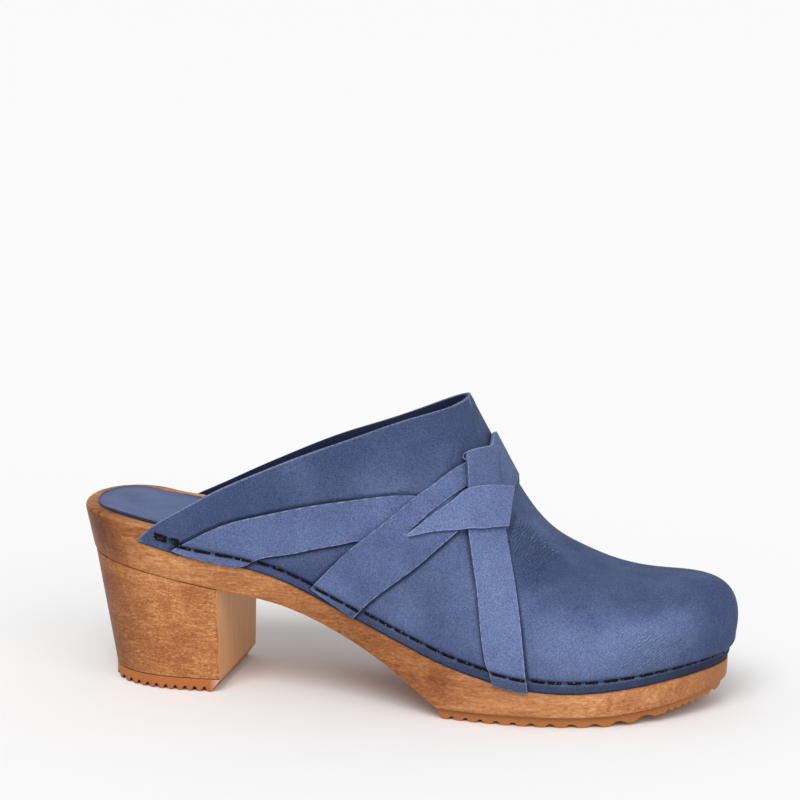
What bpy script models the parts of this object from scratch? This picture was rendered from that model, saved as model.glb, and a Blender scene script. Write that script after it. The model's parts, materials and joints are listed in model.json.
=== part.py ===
# A heeled clog for the right foot. A carved wooden sole stands on a wooden block heel and rubber
# treads, and a leather upper sits in a rebate round its edge. Three straps cross the upper and
# meet in a flat knot on the outer side of the instep.
#
# Tables are in millimetres. X runs from the back of the heel to the toe, Y towards the inner
# side of the foot, Z up from the floor.

from collections import namedtuple

import bmesh
import bpy
import numpy as np

MM = 0.001
OBJECT_NAME = "clog"

# Sole and footbed
SOLE_LENGTH = 250.0
TOE_SHIFT = 4.0
REBATE_DEPTH = 2.3
REBATE_START = (22.0, 27.5)
HEEL_LEAN = 0.24
SOLE_TAPER = 0.05
HEEL_TUCK = 0.58
HEEL_EDGE_ROUND = 2.1
FOOTBED_EDGE_ROUND = 1.5
LOWER_EDGE_ROUND = 1.2
FOOTBED_DISH = 2.8
ARCH_END = 147.0
TREAD_SEAT = 4.1
TOE_SPRING = 8.0
TOE_SPRING_START = 205.0
TOE_SEAT_LOSS = 1.5

# Heel
BREAST_X = 59.0
HEEL_RECESS = 0.5
HEEL_SIDE_TAPER = 0.085
HEEL_BACK_TAPER = 0.175

# Rubber
LIFT_THICKNESS = 4.9
LIFT_TOOTH_PITCH = 3.85
LIFT_TOOTH_DEPTH = 1.9
LIFT_UNDERCUT = 3.5
TREAD_INSET = 1.2
TREAD_LUG_COUNT = 12
TREAD_LUG_PITCH = 5.3
TREAD_PITCH_GROWTH = 1.058
TREAD_LUG_DEPTH = 1.4
TOE_LUG_START = 231.0
TOE_LUG_COUNT = 8
TOE_LUG_PITCH = 2.2
TOE_LUG_DEPTH = 0.9

# Insole, leather and straps
INSOLE_THICKNESS = 1.2
INSOLE_INSET = 4.6
INSOLE_OUTER_CUT = 6.0
LEATHER_THICKNESS = 2.0
STRAP_THICKNESS = 1.4
FIT_GAP = 0.3
FAN_START = 190.0
FAN_CENTRE = 226.0
PEAK_X = 150.0
COLLAR_START = 28.5

# Plan of the sole's edge: distance of the outer and inner side from the long axis
PlanRow = namedtuple("PlanRow", "x outer inner")
PLAN = [
    PlanRow(8.0, 21.0, 21.0),
    PlanRow(31.0, 31.0, 31.0),
    PlanRow(60.0, 31.0, 29.8),
    PlanRow(95.0, 32.5, 27.0),
    PlanRow(130.0, 39.0, 32.5),
    PlanRow(160.0, 44.5, 41.0),
    PlanRow(185.0, 45.0, 43.5),
    PlanRow(210.0, 39.5, 40.5),
    PlanRow(230.0, 28.0, 32.0),
    PlanRow(243.0, 13.5, 21.5),
]

# Height of the ledge under the leather, and of the footbed's rim
SoleRow = namedtuple("SoleRow", "x ledge rim")
SOLE = [
    SoleRow(0.0, 62.5, 68.6),
    SoleRow(15.0, 61.0, 67.2),
    SoleRow(29.0, 58.6, 65.2),
    SoleRow(45.0, 54.8, 63.0),
    SoleRow(60.0, 52.6, 61.0),
    SoleRow(75.0, 50.2, 58.6),
    SoleRow(90.0, 45.6, 54.1),
    SoleRow(110.0, 37.4, 45.9),
    SoleRow(130.0, 29.5, 38.0),
    SoleRow(150.0, 22.0, 30.5),
    SoleRow(165.0, 17.9, 26.3),
    SoleRow(180.0, 14.9, 23.3),
    SoleRow(195.0, 13.7, 22.2),
    SoleRow(210.0, 14.2, 22.7),
    SoleRow(230.0, 16.4, 24.9),
    SoleRow(250.0, 18.3, 26.8),
]

# Underside of the sole over the heel and along the arch
ArchRow = namedtuple("ArchRow", "x height")
ARCH = [
    ArchRow(0.0, 51.0),
    ArchRow(15.0, 48.9),
    ArchRow(31.0, 46.4),
    ArchRow(45.0, 43.9),
    ArchRow(60.0, 41.2),
    ArchRow(76.0, 38.9),
    ArchRow(90.0, 35.6),
    ArchRow(106.0, 29.4),
    ArchRow(120.0, 22.6),
    ArchRow(131.0, 15.9),
    ArchRow(140.0, 9.2),
    ArchRow(147.0, 4.1),
]

# Crest line of the upper, with its sideways shift; behind the peak it only guides the sides
CrestRow = namedtuple("CrestRow", "x height shift")
CREST = [
    CrestRow(20.0, 348.0, 1.0),
    CrestRow(80.0, 241.0, 1.5),
    CrestRow(120.0, 170.0, 2.0),
    CrestRow(136.0, 140.2, 2.0),
    CrestRow(150.0, 114.6, 2.0),
    CrestRow(160.0, 95.0, 2.2),
    CrestRow(170.0, 76.0, 2.6),
    CrestRow(180.0, 63.8, 3.0),
    CrestRow(190.0, 57.8, 3.4),
    CrestRow(200.0, 53.0, 3.8),
    CrestRow(212.0, 49.8, 4.2),
    CrestRow(226.0, 49.4, 4.6),
]

# Fullness of the upper: exponent of its cross section, and how far it bulges past the sole
FullRow = namedtuple("FullRow", "x exponent bulge")
FULLNESS = [
    FullRow(20.0, 2.0, 0.3),
    FullRow(60.0, 2.0, 0.8),
    FullRow(110.0, 2.0, 1.2),
    FullRow(151.0, 2.0, 1.5),
    FullRow(170.0, 2.1, 1.6),
    FullRow(190.0, 2.35, 1.8),
    FullRow(210.0, 2.65, 2.2),
    FullRow(230.0, 3.1, 3.2),
    FullRow(250.0, 4.6, 4.9),
]

# Height of the collar's edge on each side
CollarRow = namedtuple("CollarRow", "x outer inner")
COLLAR = [
    CollarRow(28.5, 60.3, 59.8),
    CollarRow(33.0, 64.7, 62.4),
    CollarRow(41.5, 70.1, 66.4),
    CollarRow(55.0, 78.1, 73.3),
    CollarRow(75.0, 88.0, 83.2),
    CollarRow(95.0, 97.0, 92.2),
    CollarRow(115.0, 105.0, 99.2),
    CollarRow(135.0, 112.2, 107.6),
    CollarRow(150.0, 114.6, 114.6),
]

# Straps: rows across each strap, from the sole up. Each edge has its station, its turn round the
# upper in degrees (0 outer edge of the sole, 90 crest, 180 inner edge) and the lift of the strap's
# middle above the upper. A turn past the sole's edge hangs that many millimetres below it.
StrapRow = namedtuple("StrapRow", "x1 turn1 lift1 x2 turn2 lift2")
STRAP_REAR = [
    StrapRow(42.0, 0.2, 1.0, 68.0, -0.6, 1.0),
    StrapRow(61.5, 3.8, 1.0, 78.0, 1.8, 1.0),
    StrapRow(77.3, 6.5, 1.0, 87.7, 3.5, 1.0),
    StrapRow(93.3, 10.6, 1.0, 99.0, 6.5, 1.0),
    StrapRow(109.3, 16.2, 1.0, 109.5, 9.9, 1.0),
    StrapRow(125.0, 23.8, 1.0, 116.3, 12.6, 1.0),
    StrapRow(142.0, 34.6, 1.0, 126.0, 15.8, 1.0),
]
STRAP_FRONT = [
    StrapRow(170.0, -0.6, 1.0, 183.2, -0.6, 1.0),
    StrapRow(168.1, 4.1, 1.0, 182.3, 6.3, 1.0),
    StrapRow(166.3, 9.2, 1.0, 181.3, 14.8, 1.0),
    StrapRow(164.4, 18.2, 1.0, 179.3, 27.4, 1.0),
    StrapRow(162.6, 26.4, 1.0, 176.3, 39.5, 1.0),
    StrapRow(160.1, 33.4, 1.0, 173.0, 49.0, 1.0),
    StrapRow(157.7, 39.8, 1.0, 169.6, 57.2, 1.0),
    StrapRow(155.9, 44.9, 1.0, 167.1, 63.0, 1.0),
]
KNOT_TAIL = [
    StrapRow(136.5, 23.1, 3.9, 136.9, 22.7, 3.9),
    StrapRow(138.9, 25.5, 3.4, 140.3, 25.0, 3.3),
    StrapRow(142.7, 30.0, 3.0, 144.3, 28.1, 2.8),
    StrapRow(148.7, 38.1, 2.9, 151.3, 33.8, 2.7),
    StrapRow(151.8, 43.5, 3.4, 155.8, 38.4, 2.7),
    StrapRow(154.1, 48.8, 4.5, 158.7, 42.1, 2.8),
    StrapRow(157.0, 54.1, 4.6, 161.3, 45.4, 2.8),
    StrapRow(159.8, 59.8, 4.7, 163.6, 49.4, 2.8),
    StrapRow(162.9, 67.2, 4.7, 166.1, 54.2, 2.8),
    StrapRow(166.0, 76.6, 4.7, 168.7, 59.8, 2.8),
]
# The wrap lies over the knot and the crest and runs down the inner side of the clog to the sole
KNOT_WRAP = [
    StrapRow(152.5, 60.0, 2.7, 155.9, 47.8, 2.6),
    StrapRow(153.8, 63.5, 2.7, 158.9, 53.0, 2.6),
    StrapRow(155.3, 67.8, 2.7, 161.6, 58.5, 2.6),
    StrapRow(156.7, 72.4, 2.7, 164.1, 65.4, 2.6),
    StrapRow(158.1, 79.0, 2.5, 165.7, 72.2, 2.6),
    StrapRow(158.0, 85.5, 2.0, 166.7, 80.0, 2.3),
    StrapRow(157.5, 95.0, 1.3, 166.8, 92.5, 1.4),
    StrapRow(156.8, 106.5, 1.0, 165.3, 108.0, 1.0),
    StrapRow(153.8, 125.0, 1.0, 163.4, 127.0, 1.0),
    StrapRow(149.8, 152.0, 1.0, 162.0, 152.0, 1.0),
    StrapRow(146.5, 180.6, 1.0, 161.0, 180.6, 1.0),
]

# The cross strap: its upper edge, and the line that is slit open from SLIT_ROW up to the knot
SLIT_ROW = 3
STRAP_CROSS = [
    StrapRow(97.0, 0.8, 1.0, 105.4, 0.4, 1.0),
    StrapRow(105.6, 5.6, 1.2, 111.8, 4.3, 1.0),
    StrapRow(119.2, 14.2, 2.85, 124.8, 13.2, 2.4),
    StrapRow(130.3, 23.1, 2.8, 136.0, 22.6, 2.4),
    StrapRow(140.0, 34.0, 2.75, 144.6, 33.4, 2.6),
    StrapRow(146.2, 42.9, 1.3, 150.2, 41.9, 1.7),
    StrapRow(153.1, 57.1, 1.0, 155.1, 51.8, 1.0),
    StrapRow(155.6, 65.5, 1.0, 158.2, 60.0, 1.0),
]
# Its lower edge, up to where it ends under the knot, and how far the slit opens on that side
LowerRow = namedtuple("LowerRow", "x turn lift open")
STRAP_CROSS_LOWER = [
    LowerRow(114.6, 0.0, 1.0, 0.0),
    LowerRow(120.1, 3.5, 1.0, 0.0),
    LowerRow(132.6, 11.8, 1.0, 0.0),
    LowerRow(143.5, 21.5, 1.0, 0.0),
    LowerRow(151.0, 31.1, 1.0, 0.08),
    LowerRow(154.2, 36.4, 1.0, 0.12),
]


def spline(xs, ys):
    """Natural cubic curve through the points, as a function of x."""
    xs = np.asarray(xs, float)
    ys = np.asarray(ys, float)
    step = np.diff(xs)
    slope = np.diff(ys) / step
    count = len(xs)
    matrix = np.eye(count)
    right = np.zeros(count)
    for i in range(1, count - 1):
        matrix[i, i - 1:i + 2] = step[i - 1], 2.0 * (step[i - 1] + step[i]), step[i]
        right[i] = 6.0 * (slope[i] - slope[i - 1])
    bend = np.linalg.solve(matrix, right)

    def curve(x):
        x = np.asarray(x, float)
        i = np.clip(np.searchsorted(xs, x) - 1, 0, count - 2)
        a = xs[i + 1] - x
        b = x - xs[i]
        return ((bend[i] * a ** 3 + bend[i + 1] * b ** 3) / (6.0 * step[i])
                + (ys[i] / step[i] - bend[i] * step[i] / 6.0) * a
                + (ys[i + 1] / step[i] - bend[i + 1] * step[i] / 6.0) * b)

    return curve


def column(table, name):
    return spline([row.x for row in table], [getattr(row, name) for row in table])


def smooth_step(x, start, end):
    t = np.clip((np.asarray(x, float) - start) / (end - start), 0.0, 1.0)
    return t * t * (3.0 - 2.0 * t)


ledge_height = column(SOLE, "ledge")
rim_height = column(SOLE, "rim")
arch_height = column(ARCH, "height")
crest_height = column(CREST, "height")
crest_shift = column(CREST, "shift")
fullness = column(FULLNESS, "exponent")
bulge = column(FULLNESS, "bulge")
collar_height = {-1: column(COLLAR, "outer"), 1: column(COLLAR, "inner")}


def plan_sides(samples=600):
    """Points of the sole's edge from heel to toe, with outward directions, for each side."""
    points = [(0.0, 0.0)] + [(row.x, -row.outer) for row in PLAN] + [(SOLE_LENGTH, TOE_SHIFT)]
    points += [(row.x, row.inner) for row in reversed(PLAN)]
    toe = len(PLAN) + 1
    loop = np.array(points[-4:] + points + points[:5])
    run = np.concatenate([[0.0], np.cumsum(np.hypot(*np.diff(loop, axis=0).T))])
    curve_x = spline(run, loop[:, 0])
    curve_y = spline(run, loop[:, 1])
    sides = {}
    for side, first, last in ((-1, 4, 4 + toe), (1, 4 + len(points), 4 + toe)):
        t = np.linspace(run[first], run[last], samples)
        xy = np.stack([curve_x(t), curve_y(t)], axis=1)
        along = np.gradient(xy, axis=0)
        room = 0.0001 * np.linspace(0.0, 1.0, samples)
        xy[:, 0] = np.clip(np.maximum.accumulate(xy[:, 0]), room, SOLE_LENGTH - room[::-1])
        along /= np.linalg.norm(along, axis=1)[:, None]
        out = np.stack([along[:, 1], -along[:, 0]], axis=1) * -side
        out[0] = (-1.0, 0.0)
        out[-1] = (1.0, 0.0)
        sides[side] = (xy, out)
    return sides


SIDES = plan_sides()


def plan_edge(side, x):
    """Sideways position of the sole's edge at x."""
    xy, _ = SIDES[side]
    return np.interp(x, xy[:, 0], xy[:, 1])


def plan_inset(side, xs, inset):
    """Edge points at the stations xs, moved inwards; returns x, y and how far they face along X."""
    xy, out = SIDES[side]
    x = np.asarray(xs, float)
    normal = np.stack([np.interp(x, xy[:, 0], out[:, 0]), np.interp(x, xy[:, 0], out[:, 1])])
    normal /= np.linalg.norm(normal, axis=0)
    return x - normal[0] * inset, plan_edge(side, x) - normal[1] * inset, np.abs(normal[0])


def toe_lift(x):
    t = np.clip((np.asarray(x, float) - TOE_SPRING_START) / (SOLE_LENGTH - TOE_SPRING_START), 0, 1.1)
    return TOE_SPRING * t ** 1.6


def underside(x):
    x = np.asarray(x, float)
    ball = toe_lift(x) + TREAD_SEAT - TOE_SEAT_LOSS * smooth_step(x, TOE_SPRING_START, SOLE_LENGTH)
    return np.where(x < ARCH_END, arch_height(np.clip(x, 0.0, ARCH_END)), ball)


def rebate(x):
    return REBATE_DEPTH * smooth_step(x, *REBATE_START)


def foot_inset(x):
    """How far the sole's lower edge lies inside its outline."""
    taper = SOLE_TAPER + (HEEL_LEAN - SOLE_TAPER) * (1.0 - smooth_step(x, 4.0, 34.0))
    return np.minimum(taper * (ledge_height(x) - underside(x)), 5.0)


def footbed(x, y):
    """Height of the dished footbed."""
    half = 0.5 * (plan_edge(1, x) - plan_edge(-1, x))
    middle = 0.5 * (plan_edge(1, x) + plan_edge(-1, x))
    across = np.clip((y - middle) / np.maximum(half, 1.0), -1.0, 1.0)
    ends = smooth_step(x, 0.0, 30.0) * (1.0 - smooth_step(x, 215.0, 250.0))
    return rim_height(x) - FOOTBED_DISH * ends * (1.0 - across ** 2)


def make_object(name, vertices, faces, material):
    """Closed or open mesh object from millimetre vertices."""
    mesh = bpy.data.meshes.new(name)
    mesh.from_pydata([tuple(v) for v in np.asarray(vertices) * MM], [], faces)
    work = bmesh.new()
    work.from_mesh(mesh)
    bmesh.ops.remove_doubles(work, verts=work.verts, dist=0.00001)
    bmesh.ops.dissolve_degenerate(work, edges=work.edges, dist=0.00001)
    bmesh.ops.recalc_face_normals(work, faces=work.faces)
    work.to_mesh(mesh)
    work.free()
    mesh.shade_smooth()
    mesh.set_sharp_from_angle(angle=np.radians(32.0))
    mesh.materials.append(material)
    thing = bpy.data.objects.new(name, mesh)
    thing.parent = bpy.data.objects[OBJECT_NAME]
    bpy.data.collections[OBJECT_NAME].objects.link(thing)
    return thing


def loft(name, sections, material, end_cap=False):
    """Closed solid through sections of equal point count; the first one closes to a line."""
    sections = np.asarray(sections, float)
    rows, ring = sections.shape[:2]
    faces = []
    for i in range(rows - 1):
        for j in range(ring):
            k = (j + 1) % ring
            faces.append((i * ring + j, i * ring + k, (i + 1) * ring + k, (i + 1) * ring + j))
    if end_cap:
        faces.append([(rows - 1) * ring + j for j in range(ring)])
    return make_object(name, sections.reshape(-1, 3), faces, material)


def apply_modifier(thing, kind, **settings):
    modifier = thing.modifiers.new(kind.title(), kind)
    for key, value in settings.items():
        setattr(modifier, key, value)
    bpy.context.view_layer.objects.active = thing
    bpy.ops.object.modifier_apply(modifier=modifier.name)


def new_material(name, colour, roughness):
    material = bpy.data.materials.new(name)
    material.use_nodes = True
    shader = material.node_tree.nodes["Principled BSDF"]
    shader.inputs["Base Color"].default_value = (*colour, 1.0)
    shader.inputs["Roughness"].default_value = roughness
    return material


def end_spaced(start, end, count):
    """Stations from start to end, closer together at both ends."""
    return start + (end - start) * 0.5 * (1.0 - np.cos(np.linspace(0.0, np.pi, count)))


def build_sole(material):
    stations = end_spaced(0.0, SOLE_LENGTH, 45)
    stations = np.unique(np.concatenate([stations, [28.5, ARCH_END - 0.5, ARCH_END]]))
    at_back = 1.0 - smooth_step(stations, 4.0, 30.0)
    lean, tuck = HEEL_LEAN * at_back, HEEL_TUCK * at_back
    rise = rim_height(stations) - ledge_height(stations)
    pocket = rebate(stations)
    edge = HEEL_EDGE_ROUND + (FOOTBED_EDGE_ROUND - HEEL_EDGE_ROUND) * smooth_step(stations, 10.0, 60.0)
    foot = foot_inset(stations)
    levels = [
        (foot + LOWER_EDGE_ROUND, underside, 0.0, 0.0),
        (foot + 0.3 * LOWER_EDGE_ROUND, underside, 0.3 * LOWER_EDGE_ROUND, 0.0),
        (foot - 0.05, underside, LOWER_EDGE_ROUND, 0.0),
        (tuck, ledge_height, 0.0, 0.0),
        (tuck + pocket, ledge_height, 0.0, 0.0),
    ]
    for turn in (0.0, 0.25, 0.5, 0.75, 1.0):
        a = 0.5 * np.pi * turn
        inset = tuck + pocket - lean * (rise - edge) + edge * (1.0 - np.cos(a))
        levels.append((inset, rim_height, -edge * (1.0 - np.sin(a)), turn))
    walls = {}
    for side in (-1, 1):
        walls[side] = []
        for inset, base, shift, dished in levels:
            x, y, _ = plan_inset(side, stations, inset)
            z = base(x) + shift + dished * (footbed(x, y) - rim_height(x))
            walls[side].append(np.stack([x, y, z], axis=1))
    sections = []
    for i in range(len(stations)):
        outer = [wall[i] for wall in walls[-1]]
        inner = [wall[i] for wall in walls[1]]
        points = list(outer)
        for t in np.linspace(0.0, 1.0, 8)[1:-1]:
            p = outer[-1] * (1.0 - t) + inner[-1] * t
            p[2] = footbed(p[0], p[1])
            points.append(p)
        points += inner[::-1]
        for t in (0.25, 0.5, 0.75):
            points.append(inner[0] * (1.0 - t) + outer[0] * t)
        sections.append(points)
    return loft("wood_sole", sections, material)


def heel_side(side, stations, height):
    """Points of the heel block's edge at one height."""
    _, _, back = plan_inset(side, stations, 0.0)
    below = np.maximum(underside(stations) - height, 0.0)
    taper = HEEL_SIDE_TAPER + (HEEL_BACK_TAPER - HEEL_SIDE_TAPER) * back
    x, y, _ = plan_inset(side, stations, foot_inset(stations) + HEEL_RECESS + below * taper)
    x = np.where(stations >= BREAST_X - 0.01, BREAST_X, x)
    return np.stack([x, y, height], axis=1)


def heel_stations():
    return BREAST_X * (1.0 - np.cos(np.linspace(0.0, 0.5 * np.pi, 18)))


def build_heel(material):
    stations = heel_stations()
    sections = []
    sides = {}
    for side in (-1, 1):
        rows = []
        for t in (0.0, 0.5, 1.0):
            x_top = heel_side(side, stations, underside(stations))[:, 0]
            top = underside(x_top) - FIT_GAP
            height = (LIFT_THICKNESS + FIT_GAP) * (1.0 - t) + top * t
            rows.append(heel_side(side, stations, height))
        sides[side] = rows
    for i in range(len(stations)):
        outer = [row[i] for row in sides[-1]]
        inner = [row[i] for row in sides[1]]
        points = outer + [0.5 * (outer[-1] + inner[-1])] + inner[::-1] + [0.5 * (outer[0] + inner[0])]
        sections.append(points)
    return loft("heel_block", sections, material, end_cap=True)


def tooth_rows(tips, land, depth):
    """Stations and heights of a row of cross teeth with flat lands and flat valleys."""
    rows = []
    for tip, after in zip(tips[:-1], tips[1:]):
        gap = after - tip
        rows += [(tip - land, 0.0), (tip + land, 0.0)]
        rows += [(tip + 0.42 * gap, depth), (tip + 0.58 * gap, depth)]
    rows += [(tips[-1] - land, 0.0), (tips[-1] + land, 0.0)]
    return rows


def tread_section(x, edge, top, bottom):
    """Box-shaped section of a tread at x, between its two edges."""
    outer, inner = [np.interp(x, edge[side][:, 0], edge[side][:, 1]) for side in (-1, 1)]
    across = (outer, 0.5 * (outer + inner), inner)
    return [(x, y, top) for y in across] + [(x, y, bottom) for y in across[::-1]]


def build_lift(material):
    stations = heel_stations()
    edge = {s: heel_side(s, stations, np.full(len(stations), LIFT_THICKNESS)) for s in (-1, 1)}
    back = edge[-1][0, 0]
    last = BREAST_X - LIFT_UNDERCUT - 0.6
    count = int((last - back) / LIFT_TOOTH_PITCH)
    tips = last - LIFT_TOOTH_PITCH * np.arange(count + 1)[::-1]
    rows = [(back, 0.0), (back + 0.3, 0.0)]
    rows += [row for row in tooth_rows(tips, 0.35, LIFT_TOOTH_DEPTH) if row[0] > back + 0.4]
    sections = []
    for x, height in rows:
        sections.append(tread_section(x, edge, LIFT_THICKNESS, height))
    front = [(BREAST_X, p[1], p[2]) if p[2] > 1.0 else (BREAST_X - LIFT_UNDERCUT, p[1], p[2])
             for p in sections[-1]]
    sections.append(front)
    return loft("heel_lift", sections, material, end_cap=True)


def build_outsole(material):
    lands = []
    x = ARCH_END + 3.4
    for i in range(TREAD_LUG_COUNT):
        lands.append(x)
        x += TREAD_LUG_PITCH * TREAD_PITCH_GROWTH ** i
    rows = [(ARCH_END + 0.6, TREAD_LUG_DEPTH + 0.6)] + tooth_rows(np.array(lands), 0.9, TREAD_LUG_DEPTH)
    rows += [(lands[-1] + 2.6, 0.5), (TOE_LUG_START - 4.0, 0.3)]
    toe_tips = TOE_LUG_START + TOE_LUG_PITCH * np.arange(TOE_LUG_COUNT)
    rows += tooth_rows(toe_tips, 0.3, TOE_LUG_DEPTH)
    stations = end_spaced(100.0, SOLE_LENGTH, 90)
    edge = {}
    for side in (-1, 1):
        x, y, _ = plan_inset(side, stations, foot_inset(stations) + LOWER_EDGE_ROUND + TREAD_INSET)
        edge[side] = np.stack([np.maximum.accumulate(x), y], axis=1)
    front = edge[-1][-1, 0]
    rows = [row for row in rows if row[0] < front - 0.3] + [(front, 0.2)]
    sections = []
    for x, cut in rows[::-1]:
        sections.append(tread_section(x, edge, underside(x) - FIT_GAP, toe_lift(x) + cut))
    return loft("forefoot_outsole", sections, material, end_cap=True)


def build_insole(material):
    stations = end_spaced(0.0, SOLE_LENGTH, 38)
    sides = {}
    for side in (-1, 1):
        cut = INSOLE_OUTER_CUT if side < 0 else 0.0
        waist = smooth_step(stations, 2.0, 24.0) * (1.0 - smooth_step(stations, 60.0, 110.0))
        x, y, _ = plan_inset(side, stations, INSOLE_INSET + cut * waist)
        sides[side] = np.stack([x, y], axis=1)
    sections = []
    for outer, inner in zip(sides[-1], sides[1]):
        lower = []
        for t in np.linspace(0.0, 1.0, 7):
            x, y = outer * (1.0 - t) + inner * t
            lower.append(np.array([x, y, footbed(x, y) + FIT_GAP]))
        upper = [p + (0.0, 0.0, INSOLE_THICKNESS) for p in lower]
        sections.append(lower + upper[::-1])
    return loft("insole", sections, material)


def fan_target(x):
    """Where the cross section that starts at x on the sole's edge meets the crest."""
    q = np.clip((np.asarray(x, float) - FAN_START) / (SOLE_LENGTH - FAN_START), 0.0, 1.0)
    reach = FAN_CENTRE - FAN_START
    bent = FAN_START + reach * (1.0 - (1.0 - q) ** ((SOLE_LENGTH - FAN_START) / reach))
    return np.where(np.asarray(x) <= FAN_START, x, bent)


def upper_point(x, turn):
    """Outer face of the upper: turn 0 is the outer edge of the sole, 90 the crest, 180 the inner edge."""
    x = np.asarray(x, float)
    turn = np.asarray(turn, float)
    theta = np.radians(np.clip(np.where(turn <= 90.0, turn, 180.0 - turn), 0.0, 90.0))
    target = fan_target(x)
    crest_y = crest_shift(target)
    edge_y = np.where(turn <= 90.0, plan_edge(-1, x), plan_edge(1, x))
    foot = ledge_height(x) + FIT_GAP
    reach = np.hypot(x - target, edge_y - crest_y)
    power = 2.0 / fullness(x)
    rise = np.sin(theta) ** power
    swell = bulge(x)
    out = (reach + swell) * np.maximum(np.cos(theta), 0.0) ** power - swell * (1.0 - rise) ** 3.4
    return np.stack([target + (x - target) / reach * out,
                     crest_y + (edge_y - crest_y) / reach * out,
                     foot + (crest_height(target) - foot) * rise], axis=-1)


def raised_point(x, turn, lift):
    """Point above the upper's outer face; turns past either edge hang that many millimetres below it."""
    x = np.asarray(x, float)
    turn = np.asarray(turn, float)
    point = upper_point(x, turn)
    low = np.clip(turn - 0.4, 0.0, 179.2)
    across = upper_point(x, low + 0.8) - upper_point(x, low)
    along = upper_point(x + 0.4, turn) - upper_point(x - 0.4, turn)
    normal = np.cross(along, across)
    normal /= np.linalg.norm(normal, axis=-1)[..., None]
    point = point + normal * np.asarray(lift, float)[..., None]
    point[..., 2] -= np.maximum(-turn, 0.0) + np.maximum(turn - 180.0, 0.0)
    return point


def collar_turn(side, x):
    """Turn at which the cross section at x is cut off by the collar."""
    foot = ledge_height(x) + FIT_GAP
    share = (collar_height[side](x) - foot) / (crest_height(x) - foot)
    share = np.clip(share, 0.0, 1.0)
    return np.degrees(np.arcsin(share ** (fullness(x) / 2.0)))


def upper_columns():
    """Stations along the sole's edge for the upper, heel to toe."""
    rear = np.linspace(COLLAR_START, PEAK_X - 36.0, 14)[:-1]
    peak = PEAK_X - 36.0 * np.linspace(1.0, 0.0, 9)[:-1] ** 2
    middle = np.linspace(PEAK_X, FAN_START, 8)[:-1]
    xy, _ = SIDES[-1]
    run = np.concatenate([[0.0], np.cumsum(np.hypot(*np.diff(xy, axis=0).T))])
    start = np.interp(FAN_START, xy[:, 0], run)
    toe = np.interp(np.linspace(start, run[-1], 14), run, xy[:, 0])
    return np.concatenate([rear, peak, middle, toe])


def column_turns(side, x, rows):
    """Turns up one cross section, evenly spaced along it but closer near the sole."""
    top = float(collar_turn(side, x)) if x < PEAK_X else 90.0
    dense = np.linspace(0.0, 1.0, 400) ** 2 * top
    points = upper_point(np.full(400, x), dense if side < 0 else 180.0 - dense)
    run = np.concatenate([[0.0], np.cumsum(np.linalg.norm(np.diff(points, axis=0), axis=1))])
    return np.interp(run[-1] * np.linspace(0.0, 1.0, rows) ** 1.25, run, dense)


def build_upper(material, rows=13):
    xs = upper_columns()
    strips = []
    for side, order in ((-1, xs), (1, xs[-2::-1])):
        for x in order:
            turns = column_turns(side, x, rows)
            strips.append(upper_point(np.full(rows, x), turns if side < 0 else 180.0 - turns))
    vertices = np.array(strips)
    count = len(vertices)
    faces = []
    for i in range(count - 1):
        for j in range(rows - 1):
            a, b = i * rows + j, (i + 1) * rows + j
            faces.append((a, b, b + 1, a + 1))
    thing = make_object("upper", vertices.reshape(-1, 3), faces, material)
    apply_modifier(thing, "SOLIDIFY", thickness=LEATHER_THICKNESS * MM, offset=-1.0,
                   use_even_offset=True, thickness_clamp=0.0)
    return thing


def strap_values(rows, steps):
    """Edge stations, turns and lifts of a strap at the given row positions."""
    table = np.array(rows, float)
    index = np.arange(len(table))
    values = []
    for k in range(table.shape[1]):
        if rows[0]._fields[k].startswith(("lift", "open")):
            values.append(np.interp(steps, index, table[:, k]))
        else:
            values.append(spline(index, table[:, k])(steps))
    return values


def strap_grid(first, second, across):
    """Points between two edges, each given as stations, turns and lifts."""
    share = np.linspace(0.0, 1.0, across + 1)[None, :]
    x, turn, lift = [a[:, None] * (1.0 - share) + b[:, None] * share for a, b in zip(first, second)]
    return raised_point(x, turn, lift)


def build_strap(name, grids, material):
    """Leather strap from one or more joined grids, thickened evenly to both sides."""
    vertices, faces = [], []
    for grid in grids:
        rows, columns = grid.shape[:2]
        base = len(vertices)
        vertices += list(grid.reshape(-1, 3))
        for i in range(rows - 1):
            for j in range(columns - 1):
                a = base + i * columns + j
                faces.append((a, a + 1, a + columns + 1, a + columns))
    thing = make_object(name, vertices, faces, material)
    apply_modifier(thing, "SOLIDIFY", thickness=STRAP_THICKNESS * MM, offset=0.0,
                   use_even_offset=True, thickness_clamp=0.0)
    return thing


def build_plain_strap(name, rows, along, across, material):
    values = strap_values(rows, np.linspace(0.0, len(rows) - 1.0, along + 1))
    return build_strap(name, [strap_grid(values[:3], values[3:], across)], material)


def build_cross_strap(material):
    steps = np.linspace(0.0, len(STRAP_CROSS) - 1.0, 3 * (len(STRAP_CROSS) - 1) + 1)
    values = strap_values(STRAP_CROSS, steps)
    grids = [strap_grid(values[:3], values[3:], 2)]
    low_steps = steps[steps <= len(STRAP_CROSS_LOWER) - 1.0 + 1e-6]
    edge = strap_values(STRAP_CROSS_LOWER, low_steps)
    slit = [value[:len(low_steps)] for value in values[3:]]
    opened = edge[3]
    slit = [line * (1.0 - opened) + low * opened for line, low in zip(slit, edge[:3])]
    closed = low_steps <= SLIT_ROW
    slit[2] = np.where(closed, slit[2], slit[2][closed][-1] + (edge[2] - slit[2][closed][-1])
                       * np.clip(2.0 * (low_steps - SLIT_ROW), 0.0, 1.0))
    grids.append(strap_grid(slit, edge[:3], 2))
    return build_strap("strap_cross", grids, material)


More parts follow.
